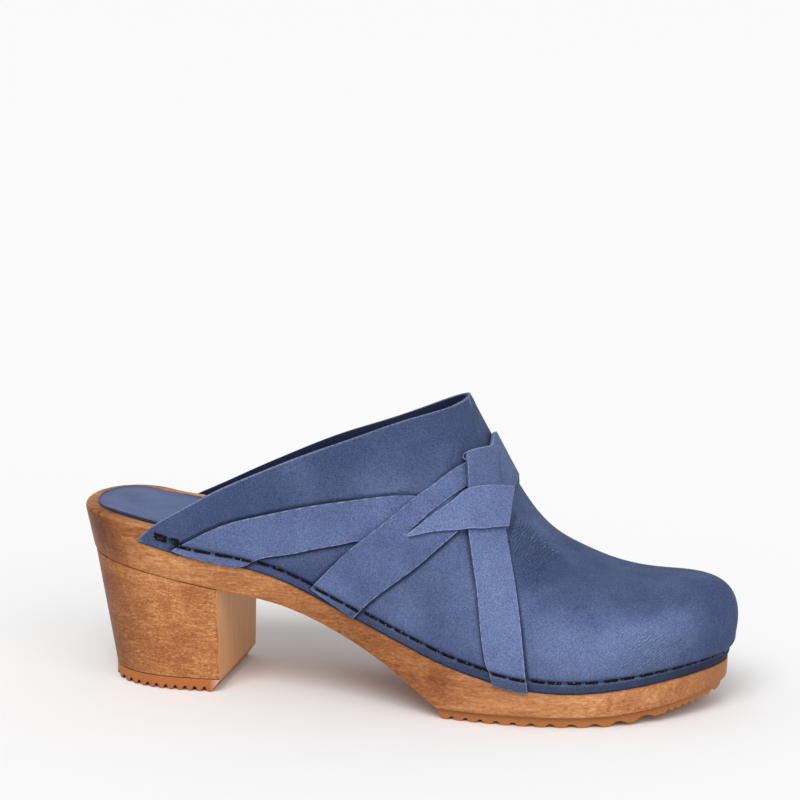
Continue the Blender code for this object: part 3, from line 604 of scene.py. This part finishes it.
sockEdges = {"sharp": 50.0, "width": 0.3, "segments": 2, "levels": 2}
sockMake = {"innerHalf": (-6.0, 8.0), "backEnd": (-120.0, -112.0), "pared": 1.35, "paredReach": 8.0,
            "topFacing": (-0.2, 0.5), "drawnIn": 3.0, "drawnFrom": (-114.0, -100.0), "drawnSide": (6.0, 24.0),
            "dish": 0.13, "sideShade": 0.8, "sideFacing": (0.2, 0.7), "pale": 0.5}
sockSheet = pieceFromNode("insole", "sockSheet")
sockEdge = sharpPoints(sockSheet, sockEdges["sharp"])
softEdges(sockSheet, sockEdges)
sockPoints, sockFacing = readPoints(sockSheet), readNormals(sockSheet)[:, 2]
sockX, sockY = sockPoints[:, 0] / mm, sockPoints[:, 1] / mm
inward = np.maximum(smoothStep(sockY, *sockMake["innerHalf"]), fadeOut(sockX, *sockMake["backEnd"]))
pared = sockMake["pared"] * inward * fadeOut(reachTo(sockPoints, sockEdge), 0.0, sockMake["paredReach"])
sockPoints[:, 2] -= pared * smoothStep(sockFacing, *sockMake["topFacing"]) * mm
drawnIn = smoothStep(sockX, *sockMake["drawnFrom"]) * smoothStep(sockY, *sockMake["drawnSide"])
drawnIn *= sockMake["drawnIn"] * mm
sockPoints[:, 1] -= drawnIn
sockPoints[:, 2] -= sockMake["dish"] * drawnIn
writePoints(sockSheet, sockPoints)
# painted shade on the sock's side faces, away from its pared edges
sideShade = fadeOut(sockFacing, *sockMake["sideFacing"]) * (1.0 - inward)
writeAttribute(sockSheet, "paintedShade", sockMake["sideShade"] * sideShade)
writeAttribute(sockSheet, "rubbedAndLit", sockMake["pale"])
placePiece(sockSheet, sockLeather, "sock_leather", "insole")
print("wood, rubber and sock made")


# the upper: the outer face of the node, smoothed

upperMake = {"leather": 1.35, "lining": 0.45, "liningGap": 1.4, "tuckAngle": 55.0, "tipSlope": 0.2,
             "pole": (99.12, 6.33, 49.4), "poleMerge": 1.2, "bandHeight": 5.5, "collarReach": 1.6,
             "strapReach": 1.8, "besideStraps": ("strap_rear", "strap_cross", "strap_front")}

# the fan of small faces at the toe's pole is merged, then all but the outer face is deleted
upperLeather = pieceFromNode("upper", "upperLeather")
editMode(upperLeather)
bpy.ops.mesh.select_mode(type="VERT")
objectMode()
for vertex in upperLeather.data.vertices:
    vertex.select = (vertex.co - Vector(upperMake["pole"]) * mm).length < upperMake["poleMerge"] * mm
bpy.ops.object.mode_set(mode="EDIT")
bpy.ops.mesh.merge(type="CENTER")
objectMode()
outermost = min(upperLeather.data.polygons, key=lambda face: face.center.y).index
pickFaces(upperLeather, lambda face: face.index == outermost)
bpy.ops.mesh.faces_select_linked_flat(sharpness=math.radians(upperMake["tuckAngle"]))
bpy.ops.mesh.select_all(action="INVERT")
bpy.ops.mesh.delete(type="FACE")
objectMode()
subdivided(upperLeather, 1)
liningSheet = copyPiece(upperLeather, "upperLining")
subdivided(upperLeather, 1)
print("outer sheet", len(upperLeather.data.polygons), "faces")


def edgeLoop(piece):  # the open sheet's rim as an ordered ring of vertex numbers
    editMode(piece)
    bpy.ops.mesh.select_mode(type="EDGE")
    bpy.ops.mesh.select_non_manifold()
    objectMode()
    beside = {}
    for edge in piece.data.edges:
        if edge.select:
            a, b = edge.vertices
            beside.setdefault(a, []).append(b)
            beside.setdefault(b, []).append(a)
    ring = [next(iter(beside))]
    while True:
        ways = [v for v in beside[ring[-1]] if len(ring) < 2 or v != ring[-2]]
        if ways[0] == ring[0]:
            return ring
        ring.append(ways[0])


def lowTip(points, side):  # the rear tip of the rim on one side, at its lowest corner
    return min((i for i in range(len(points)) if points[i, 1] * side > 0),
               key=lambda i: points[i, 0] + upperMake["tipSlope"] * points[i, 2])


rim = edgeLoop(upperLeather)
rimPoints = readPoints(upperLeather)[rim]
toe = int(np.argmax(rimPoints[:, 0]))
rimPoints = np.roll(rimPoints, -toe, axis=0)
outerTip, innerTip = lowTip(rimPoints, -1), lowTip(rimPoints, 1)
if outerTip > innerTip:
    rimPoints = np.roll(rimPoints[::-1], 1, axis=0)
    outerTip, innerTip = lowTip(rimPoints, -1), lowTip(rimPoints, 1)
lowerEdge = np.concatenate([rimPoints[outerTip::-1], rimPoints[:innerTip - 1:-1]])
collarEdge = rimPoints[outerTip:innerTip + 1]
print("lower edge", len(lowerEdge), "collar", len(collarEdge))


# straps: the nodes with rounded edges and paler cut sides; each has its name and how pale it is

strapEdges = {"sharp": 60.0, "width": 0.3, "segments": 2, "levels": 2, "cutReach": (0.1, 0.5)}
strapMake = {"strap_rear": ("strapRear", 0.45), "strap_cross": ("strapCross", 0.35),
             "strap_front": ("strapFront", 0.78), "knot_wrap": ("knotWrap", 0.42),
             "knot_tail": ("knotTail", 0.82)}
straps, strapCuts = {}, {}
for node, (name, pale) in strapMake.items():
    strap = pieceFromNode(node, name)
    strapCuts[node] = sharpPoints(strap, strapEdges["sharp"])
    softEdges(strap, strapEdges)
    cutReach = reachTo(readPoints(strap), strapCuts[node])
    writeAttribute(strap, "cutEdge", fadeOut(cutReach, *strapEdges["cutReach"]))
    writeAttribute(strap, "rubbedAndLit", pale)
    straps[node] = strap
    print(name, len(strap.data.polygons), "faces")


# the staple line, a little above the lower edge

stapleSeat = {"step": 0.5, "heightAt": (-60.0, 60.0), "height": (3.2, 3.9), "wayRounds": 12,
              "seatRounds": 6, "outRounds": 10, "rayReach": 9.0, "depth": 1.05, "width": 0.95,
              "between": 0.7, "rise": (0.6, 0.4), "tipFade": (8.0, 14.0), "puff": 0.4, "puffAt": 3.2,
              "puffWidth": 1.9, "reach": (8.4, 12.0), "grooveShade": 0.9, "grooveAt": 0.3,
              "grooveWidth": 0.9, "lipUnder": (-1.4, -0.4), "lipAt": (-45, -5, 60, 110),
              "lipShade": (0.0, 0.5, 0.6, 0.78)}
upperTree = surfaceTree(upperLeather)
lowerLine = evenly(lowerEdge, stapleSeat["step"] * mm)
lineWay = unit(smoothed(np.gradient(lowerLine, axis=0), stapleSeat["wayRounds"]))
seatPoints, seatOut = [], []
for point, way in zip(lowerLine, lineWay):
    _, out, _, _ = upperTree.find_nearest(Vector(point))
    up = out.cross(Vector(way))
    up *= 1.0 if up.z > 0 else -1.0
    height = np.interp(point[0] / mm, stapleSeat["heightAt"], stapleSeat["height"])
    seat, out, _, _ = upperTree.find_nearest(Vector(point) + up.normalized() * height * mm)
    seatPoints.append(seat)
    seatOut.append(out)
seatPoints = smoothed(seatPoints, stapleSeat["seatRounds"])
seatOut = unit(smoothed(seatOut, stapleSeat["outRounds"]))
seatWay = unit(np.gradient(seatPoints, axis=0))
seatUp = np.cross(seatOut, seatWay)
seatUp *= np.sign(seatUp[:, 2])[:, None]
seatRun = runAlong(seatPoints) / mm
print("staple line", round(float(seatRun[-1]), 1), "mm")

# which strap lies on top at each step of the line, so that no staple crosses a strap's edge
strapTrees = {node: surfaceTree(strap) for node, strap in straps.items()}
rayLength = stapleSeat["rayReach"] * mm
cover = []
for point, out in zip(seatPoints, seatOut):
    start, way = Vector(point) + Vector(out) * rayLength, -Vector(out)
    hits = {node: tree.ray_cast(start, way, rayLength)[3] for node, tree in strapTrees.items()}
    hits = {node: distance for node, distance in hits.items() if distance is not None}
    cover.append(min(hits, key=hits.get) if hits else "")
stretchEnds = [0] + [k for k in range(1, len(cover)) if cover[k] != cover[k - 1]] + [len(cover) - 1]

# staples in pairs along each stretch: crown length, gap inside a pair and between pairs, in millimetres;
# at the tips each staple has its start, its end and how far it is raised
stapleRow = {"bare": (5.7, 0.5, 1.0), "toe": (5.4, 0.9, 2.0), "strap_rear": (7.4, 0.4, 1.5),
             "strap_cross": (6.0, 0.5, 0.8), "strap_front": (6.0, 0.6, 0.6), "margin": 0.8, "rearLead": 3.0,
             "toeFrom": 55.0, "longest": 1.2, "tipLength": 16.0,
             "tip": [(4.2, 9.9, 1.9), (4.4, 9.8, 0.4), (10.4, 14.4, 1.9)]}
staples = []
for a, b in zip(stretchEnds[:-1], stretchEnds[1:]):
    middle = (a + b) // 2
    name = cover[middle] or ("toe" if seatPoints[middle][0] > stapleRow["toeFrom"] * mm else "bare")
    inTip = seatRun[b] < stapleRow["tipLength"] or seatRun[a] > seatRun[-1] - stapleRow["tipLength"]
    if name not in stapleRow or inTip:
        continue
    crown, shortGap, longGap = stapleRow[name]
    lead = stapleRow["rearLead"] if name == "strap_rear" else 0.0
    start = seatRun[a] + stapleRow["margin"] - (lead if a < len(cover) / 2 else 0.0)
    end = seatRun[b] - stapleRow["margin"] + (lead if a > len(cover) / 2 else 0.0)
    meanGap = 0.5 * (shortGap + longGap)
    count = round((end - start + meanGap) / (crown + meanGap))
    if count < 1:
        continue
    gaps = [longGap if i % 2 else shortGap for i in range(count - 1)] + [0.0]
    crown = min((end - start - sum(gaps)) / count, stapleRow["longest"] * crown)
    for gap in gaps:
        staples.append((start, start + crown, 0.0))
        start += crown + gap
for start, end, raised in stapleRow["tip"]:
    staples += [(start, end, raised), (seatRun[-1] - end, seatRun[-1] - start, raised)]
print(len(staples), "staples on", [(cover[a], round(float(seatRun[a]), 1)) for a in stretchEnds])

underStaple = np.zeros(len(seatRun))
outside, inside = stapleSeat["rise"]
for start, end, raised in staples:
    if raised:
        continue
    rise = smoothStep(seatRun, start - outside, start + inside)
    underStaple = np.maximum(underStaple, rise * fadeOut(seatRun, end - inside, end + outside))


def pressByStaples(piece):  # moves the leather and gives back the painted shade in its groove and on its lip
    points = readPoints(piece)
    index, reach = nearest(points, seatPoints)
    up = np.einsum("ij,ij->i", points - seatPoints[index], seatUp[index]) / mm
    fromTip = np.minimum(seatRun, seatRun[-1] - seatRun)[index]
    share = stapleSeat["between"] + (1.0 - stapleSeat["between"]) * underStaple[index]
    share *= smoothStep(fromTip, *stapleSeat["tipFade"])
    move = stapleSeat["puff"] * bell(up, stapleSeat["puffWidth"], stapleSeat["puffAt"])
    move -= stapleSeat["depth"] * share * bell(up, stapleSeat["width"])
    near = fadeOut(reach / mm, *stapleSeat["reach"])
    writePoints(piece, points + seatOut[index] * (move * near * mm)[:, None])
    # painted shade in the staple groove and on the lip below it, which faces down
    groove = stapleSeat["grooveShade"] * share * bell(up, stapleSeat["grooveWidth"], stapleSeat["grooveAt"])
    lip = np.interp(points[:, 0] / mm, stapleSeat["lipAt"], stapleSeat["lipShade"])
    return near * np.maximum(groove, lip * fadeOut(up, *stapleSeat["lipUnder"]))


# folds where the leather bends: lines across each bend in millimetres, their reach and their strength

bends = [
    {"reach": (3.0, 15.0), "share": 1.0,
     "lines": [[(46.5, -22.9, 63.1), (47.4, -18.9, 64.7), (48.2, -14.0, 65.8)],
               [(47.9, -23.9, 61.0), (49.3, -18.8, 62.8), (50.3, -12.3, 64.2)],
               [(49.4, -25.2, 58.9), (51.3, -19.1, 60.7), (52.8, -12.4, 61.9)],
               [(51.4, -25.1, 57.3), (53.3, -19.5, 59.0), (55.3, -12.7, 60.1)]]},
    {"reach": (3.0, 12.0), "share": 0.45,
     "lines": [[(95.2, -33.3, 26.2), (97.9, -31.7, 28.2), (100.5, -30.0, 29.8)],
               [(97.4, -32.0, 24.3), (100.3, -30.4, 26.5), (103.3, -28.3, 28.3)],
               [(100.6, -29.9, 23.3), (104.0, -27.8, 25.6), (106.9, -25.5, 27.5)]]}]
foldSpread = {"before": 5.0, "after": 4.0, "step": 0.1, "longer": 3.0, "pointStep": 1.0}


def foldRuns(points, bend):  # millimetres across a bend's lines, and how strongly each point is folded
    lines = np.array(bend["lines"]) * mm
    pitch = np.linalg.norm(lines[-1] - lines[0], axis=1).mean() / (len(lines) - 1) / mm
    dense, at = [], []
    for place in np.arange(-foldSpread["before"], len(lines) + foldSpread["after"], foldSpread["step"]):
        low = int(np.clip(math.floor(place), 0, len(lines) - 2))
        line = lines[low] + (lines[low + 1] - lines[low]) * (place - low)
        first = line[0] + (line[0] - line[1]) * foldSpread["longer"]
        last = line[-1] + (line[-1] - line[-2]) * foldSpread["longer"]
        line = evenly(np.concatenate([[first], line, [last]]), foldSpread["pointStep"] * mm)
        dense.append(line)
        at += [place * pitch] * len(line)
    index, _ = nearest(points, np.concatenate(dense))
    share = bend["share"] * fadeOut(reachTo(points, lines.reshape(-1, 3)), *bend["reach"])
    return np.array(at)[index], share


# creases and dents: the line of each in millimetres, its depth and half width;
# the wrap's gap only gets painted shade

softDent = {"line": [(84.8, 12.6, 49.8), (88.2, -14.6, 47.9), (86.9, -28.2, 41.9)],
            "depth": 0.3, "width": 9.0}
underSlit = {"line": [(9.5, -37.0, 71.0), (15.0, -35.1, 76.3), (22.9, -31.1, 83.2), (27.2, -26.8, 85.9)],
             "depth": -1.9, "width": 2.6, "ridge": 0.0}
wrapCrease = {"line": [(35.9, -0.8, 95.3), (37.7, -7.3, 91.0), (39.3, -12.6, 86.2)],
              "depth": 0.4, "width": 1.0, "reach": 4.0, "shade": 0.3, "shadeWidth": 0.7}
wrapGap = {"line": [(27.6, -23.3, 96.0), (28.6, -26.3, 91.4), (29.4, -28.8, 86.8)],
           "reach": 2.0, "width": 0.75}
creaseForm = {"step": 0.25, "endFade": 0.3, "ridge": 0.5, "ridgeAt": 1.8, "ridgeWidth": 0.9}
fineMesh = {"leastArea": 0.6, "lineStep": 0.5, "gapStep": 0.3}


def pressCreases(piece, *creases):
    points, normals = readPoints(piece), readNormals(piece)
    move = np.zeros(len(points))
    for crease in creases:
        line = handLine(crease["line"], creaseForm["step"])
        index, reach = nearest(points, line)
        fromEnd = np.minimum(index, len(line) - 1 - index) / len(line)
        depth = crease["depth"] * smoothStep(fromEnd, 0.0, creaseForm["endFade"])
        across = reach / mm / crease["width"]
        ridge = crease.get("ridge", creaseForm["ridge"])
        ridge *= bell(across, creaseForm["ridgeWidth"], creaseForm["ridgeAt"])
        move += depth * (ridge - bell(across, 1.0))
    writePoints(piece, points + normals * (move * mm)[:, None])


def refineNear(piece, targets, reach, cuts=2):  # smaller faces close to the given points
    distance = reachTo([face.center for face in piece.data.polygons], targets)
    least = fineMesh["leastArea"] * mm * mm
    pickFaces(piece, lambda face: distance[face.index] < reach and face.area > least)
    bpy.ops.mesh.subdivide(number_cuts=cuts)
    objectMode()


refineNear(upperLeather, lowerLine, upperMake["bandHeight"])
refineNear(upperLeather, evenly(collarEdge, fineMesh["lineStep"] * mm), upperMake["collarReach"])
refineNear(upperLeather, np.concatenate([strapCuts[node] for node in upperMake["besideStraps"]]),
           upperMake["strapReach"], 1)
upperShade = pressByStaples(upperLeather)
pressCreases(upperLeather, softDent, underSlit)
outerCount = len(upperLeather.data.vertices)
useModifier(upperLeather, "SOLIDIFY", thickness=upperMake["leather"] * mm, offset=-1.0)

# the leather's tone: paler on the outer side of the toe, rubbed and with a painted highlight there, and
# painted light over the slit; darker at the toe's front, at the peak, towards the heel and near the lower
# edge; painted shade on upward faces, along the lower edge and beside the straps; the collar's edge is cut
upperTone = {"rear": 0.12, "side": 0.45, "sideFrom": (-45.0, 0.0), "toe": 0.5, "toeFrom": (45.0, 85.0),
             "front": 0.85, "frontFrom": (96.0, 120.0), "top": 0.8, "topFacing": (0.4, 0.85),
             "peak": (78.0, 106.0), "low": 0.5, "lowReach": (5.0, 15.0), "slitReach": (2.5, 4.0),
             "cut": 0.65, "cutStep": 0.4, "cutReach": (0.15, 0.7), "foot": 0.9, "footReach": (0.2, 0.7),
             "footFrom": (-60.0, -30.0), "beside": 0.8, "besideReach": (0.5, 1.7), "besideSlit": (2.0, 4.0),
             "toeBendFrom": 75.0}
upperPoints, facingUp = readPoints(upperLeather), readNormals(upperLeather)[:, 2]
upperX, upperZ = upperPoints[:, 0] / mm, upperPoints[:, 2] / mm
footReach = reachTo(upperPoints, lowerLine)
slitReach = reachTo(upperPoints, handLine(underSlit["line"], fineMesh["lineStep"]))
collarReach = reachTo(upperPoints, evenly(collarEdge, upperTone["cutStep"] * mm))
besideReach = reachTo(upperPoints, np.concatenate(list(strapCuts.values())))
writeAttribute(upperLeather, "cutEdge", upperTone["cut"] * fadeOut(collarReach, *upperTone["cutReach"]))
rubbedAndLit = upperTone["rear"] + upperTone["side"] * smoothStep(upperX, *upperTone["sideFrom"])
rubbedAndLit += upperTone["toe"] * smoothStep(upperX, *upperTone["toeFrom"])
rubbedAndLit *= 1.0 - upperTone["front"] * smoothStep(upperX, *upperTone["frontFrom"])
# painted shade: faces that look upward are darker
rubbedAndLit *= 1.0 - upperTone["top"] * smoothStep(facingUp, *upperTone["topFacing"])
rubbedAndLit *= fadeOut(upperZ, *upperTone["peak"])
rubbedAndLit *= 1.0 - upperTone["low"] * fadeOut(footReach, *upperTone["lowReach"])
# painted light: paler next to the slit
writeAttribute(upperLeather, "rubbedAndLit", np.maximum(rubbedAndLit, fadeOut(slitReach, *upperTone["slitReach"])))
# painted shade: a contact shadow along the lower edge, and shade beside the straps
footShade = fadeOut(footReach, *upperTone["footReach"]) * smoothStep(upperX, *upperTone["footFrom"])
besideShade = fadeOut(besideReach, *upperTone["besideReach"])
besideShade *= smoothStep(slitReach, *upperTone["besideSlit"])
upperShade = np.concatenate([upperShade, np.zeros(len(upperPoints) - outerCount)])
upperShade = np.maximum(upperShade, upperTone["foot"] * footShade)
writeAttribute(upperLeather, "paintedShade", np.maximum(upperShade, upperTone["beside"] * besideShade))
(instepRun, instepFolds), (toeRun, toeFolds) = [foldRuns(upperPoints, bend) for bend in bends]
atInstep = upperX < upperTone["toeBendFrom"]
writeAttribute(upperLeather, "foldRun", np.where(atInstep, instepRun, toeRun))
writeAttribute(upperLeather, "wrinkled", np.where(atInstep, instepFolds, toeFolds))
smoothFaces(upperLeather)
placePiece(upperLeather, vampNubuck, "upper_nubuck", "upper")
print("upper leather", sum(len(face.vertices) - 2 for face in upperLeather.data.polygons), "triangles")

# painted shade on the wood in its seam with the leather
seamReach = reachTo(readPoints(woodSole), lowerLine)
soleTone *= 1.0 - soleMake["seamShade"] * fadeOut(seamReach, *soleMake["seamReach"])
writeAttribute(woodSole, "woodTone", soleTone)

editMode(liningSheet, selectAll=True)
bpy.ops.transform.shrink_fatten(value=-upperMake["liningGap"] * mm)
objectMode()
useModifier(liningSheet, "SOLIDIFY", thickness=upperMake["lining"] * mm, offset=-1.0)
placePiece(liningSheet, liningLeather, None)
print("lining made")

# the straps are pressed by the staples too, and get painted shade in the wrap's gap, along the wrap's crease
# and beside each other
strapTone = {"beside": 0.5, "besideReach": (0.2, 0.9), "gapNodes": ("knot_wrap", "strap_cross")}
gapLine = handLine(wrapGap["line"], fineMesh["gapStep"])
for node, strap in straps.items():
    if node == "knot_wrap":
        refineNear(strap, handLine(wrapCrease["line"], fineMesh["lineStep"]), wrapCrease["reach"])
        pressCreases(strap, wrapCrease)
    if node in strapTone["gapNodes"]:
        refineNear(strap, gapLine, wrapGap["reach"])
    gapReach = reachTo(readPoints(strap), gapLine)
    strapShade = np.maximum(pressByStaples(strap), bell(gapReach, wrapGap["width"]))
    if node == "knot_wrap":
        creaseReach = reachTo(readPoints(strap), handLine(wrapCrease["line"], fineMesh["gapStep"]))
        strapShade = np.maximum(strapShade, wrapCrease["shade"] * bell(creaseReach, wrapCrease["shadeWidth"]))
    otherCuts = np.concatenate([cut for other, cut in strapCuts.items() if other != node])
    besideShade = fadeOut(reachTo(readPoints(strap), otherCuts), *strapTone["besideReach"])
    writeAttribute(strap, "paintedShade", np.maximum(strapShade, strapTone["beside"] * besideShade))
    placePiece(strap, strapNubuck, "strap_nubuck", node)
print("straps pressed")


# the wrap's upper corner is rolled: a short tube of leather, with painted shade inside

roll = {"end": (27.7, -22.3, 97.9), "way": (-0.3, -0.85, 0.45), "length": 2.6, "radius": 1.5, "wall": 0.55,
        "sides": 24, "round": 0.15, "sharp": 50.0, "darkFrom": 0.8, "pale": 0.6, "cut": 0.15}
rollEnd, rollWay = Vector(roll["end"]) * mm, Vector(roll["way"]).normalized()
rollMiddle = rollEnd - rollWay * 0.5 * roll["length"] * mm
bpy.ops.object.select_all(action="DESELECT")
bpy.ops.mesh.primitive_cylinder_add(
    vertices=roll["sides"], radius=roll["radius"] * mm, depth=roll["length"] * mm, end_fill_type="NOTHING",
    location=rollMiddle, rotation=rollWay.to_track_quat("Z", "Y").to_euler())
wrapRoll = namedActive("wrapRoll")
bpy.ops.object.transform_apply(location=True, rotation=True, scale=True)
useModifier(wrapRoll, "SOLIDIFY", thickness=roll["wall"] * mm, offset=-1.0)
useModifier(wrapRoll, "BEVEL", width=roll["round"] * mm, segments=2, limit_method="ANGLE",
            angle_limit=math.radians(roll["sharp"]))
fromAxis = np.cross(readPoints(wrapRoll) - np.array(rollEnd), np.array(rollWay))
fromAxis = np.linalg.norm(fromAxis, axis=1) / mm
writeAttribute(wrapRoll, "paintedShade", fromAxis < roll["radius"] - roll["darkFrom"] * roll["wall"])
writeAttribute(wrapRoll, "rubbedAndLit", roll["pale"])
writeAttribute(wrapRoll, "cutEdge", roll["cut"])
smoothFaces(wrapRoll)
placePiece(wrapRoll, strapNubuck, "strap_nubuck")
print("rolled corner made")


# staples: one bent wire, copied along its line and pressed onto whatever leather lies there

wire = {"crown": 6.0, "width": 1.25, "thick": 0.6, "leg": 0.55, "dip": 0.5, "round": 0.18, "sharp": 40.0,
        "endFacing": 0.9, "lift": 0.1, "rayFrom": 8.0, "rayReach": 14.0, "wobble": 3.0, "seed": 11}
bpy.ops.object.select_all(action="DESELECT")
bpy.ops.mesh.primitive_cube_add(size=1.0)
stapleShape = namedActive("stapleShape")
stapleShape.scale = ((wire["crown"] - 2 * wire["leg"]) * mm, wire["width"] * mm, wire["thick"] * mm)
bpy.ops.object.transform_apply(location=False, rotation=False, scale=True)
for way in (-1, 1):
    pickFaces(stapleShape, lambda face: face.normal.x * way > wire["endFacing"])
    bpy.ops.mesh.extrude_region_move(
        TRANSFORM_OT_translate={"value": (way * wire["leg"] * mm, 0.0, -wire["dip"] * mm)})
    objectMode()
useModifier(stapleShape, "BEVEL", width=wire["round"] * mm, segments=2, limit_method="ANGLE",
            angle_limit=math.radians(wire["sharp"]))
leatherTree = surfaceTree(upperLeather, *straps.values())
random.seed(wire["seed"])
copies = []
for start, end, raised in staples:
    k = int(np.searchsorted(seatRun, 0.5 * (start + end)))
    out, way = Vector(seatOut[k]), Vector(seatWay[k])
    seat = Vector(seatPoints[k]) + Vector(seatUp[k]) * raised * mm
    hit, _, _, _ = leatherTree.ray_cast(seat + out * wire["rayFrom"] * mm, -out, wire["rayReach"] * mm)
    place = (hit if hit is not None else seat) + out * wire["lift"] * mm
    turn = Matrix((way, out.cross(way).normalized(), out)).transposed().to_4x4()
    wobble = Matrix.Rotation(math.radians(random.uniform(-1, 1) * wire["wobble"]), 4, "Z")
    length = Matrix.Diagonal(((end - start) / wire["crown"], 1.0, 1.0, 1.0))
    staple = copyPiece(stapleShape, "stapleCopy")
    staple.matrix_world = Matrix.Translation(place) @ turn @ wobble @ length
    copies.append(staple)
bpy.data.objects.remove(stapleShape)
bpy.ops.object.select_all(action="DESELECT")
for staple in copies:
    staple.select_set(True)
bpy.context.view_layer.objects.active = copies[0]
bpy.ops.object.join()
bpy.ops.object.transform_apply(location=True, rotation=True, scale=True)
stapleWires = namedActive("stapleWires")
placePiece(stapleWires, stapleSteel, None)
print("staples placed", len(stapleWires.data.polygons), "faces")


# floor, light and camera: each light has its strength, the angle that it spreads over and its turn

studio = {"floor": "#f6f6f6", "floorSize": 40.0, "floorDrop": 0.02, "world": "#ffffff", "worldPower": 0.55,
          "lights": {"softKey": (1.58, 32.0, (40.0, 0.0, -4.0)), "sideFill": (0.75, 45.0, (60.0, 0.0, 45.0))}}
bpy.ops.object.select_all(action="DESELECT")
bpy.ops.mesh.primitive_plane_add(size=studio["floorSize"], location=(0.0, 0.0, -studio["floorDrop"] * mm))
floor = namedActive("studioFloor")
paper, paperTree, paperShader = startMaterial("paperSweep")  # matt white paper: no shine, soft shadows
fillInputs(paperTree, paperShader, {
    "Base Color": hexColour(studio["floor"]), "Roughness": 0.9, "Specular IOR Level": 0.1})
floor.data.materials.append(paper)

world = bpy.data.worlds.new("studioSurround")
world.use_nodes = True
fillInputs(world.node_tree, world.node_tree.nodes["Background"],
           {"Color": hexColour(studio["world"]), "Strength": studio["worldPower"]})
bpy.context.scene.world = world

for name, (power, angle, turn) in studio["lights"].items():
    bpy.ops.object.light_add(type="SUN", rotation=[math.radians(a) for a in turn])
    light = namedActive(name)
    light.data.energy = power
    light.data.angle = math.radians(angle)

view = {"from": (0.33097, -1.40631, 0.44081), "to": (-0.00718, 0.01831, 0.10843),
        "lens": 176.13, "sensor": 36.0}
bpy.ops.object.camera_add(location=view["from"])
camera = namedActive("photoCamera")
camera.rotation_euler = (Vector(view["to"]) - Vector(view["from"])).to_track_quat("-Z", "Y").to_euler()
camera.data.lens = view["lens"]
camera.data.sensor_width = view["sensor"]
bpy.context.scene.camera = camera
bpy.context.scene.view_settings.view_transform = "Standard"
print("stage set")
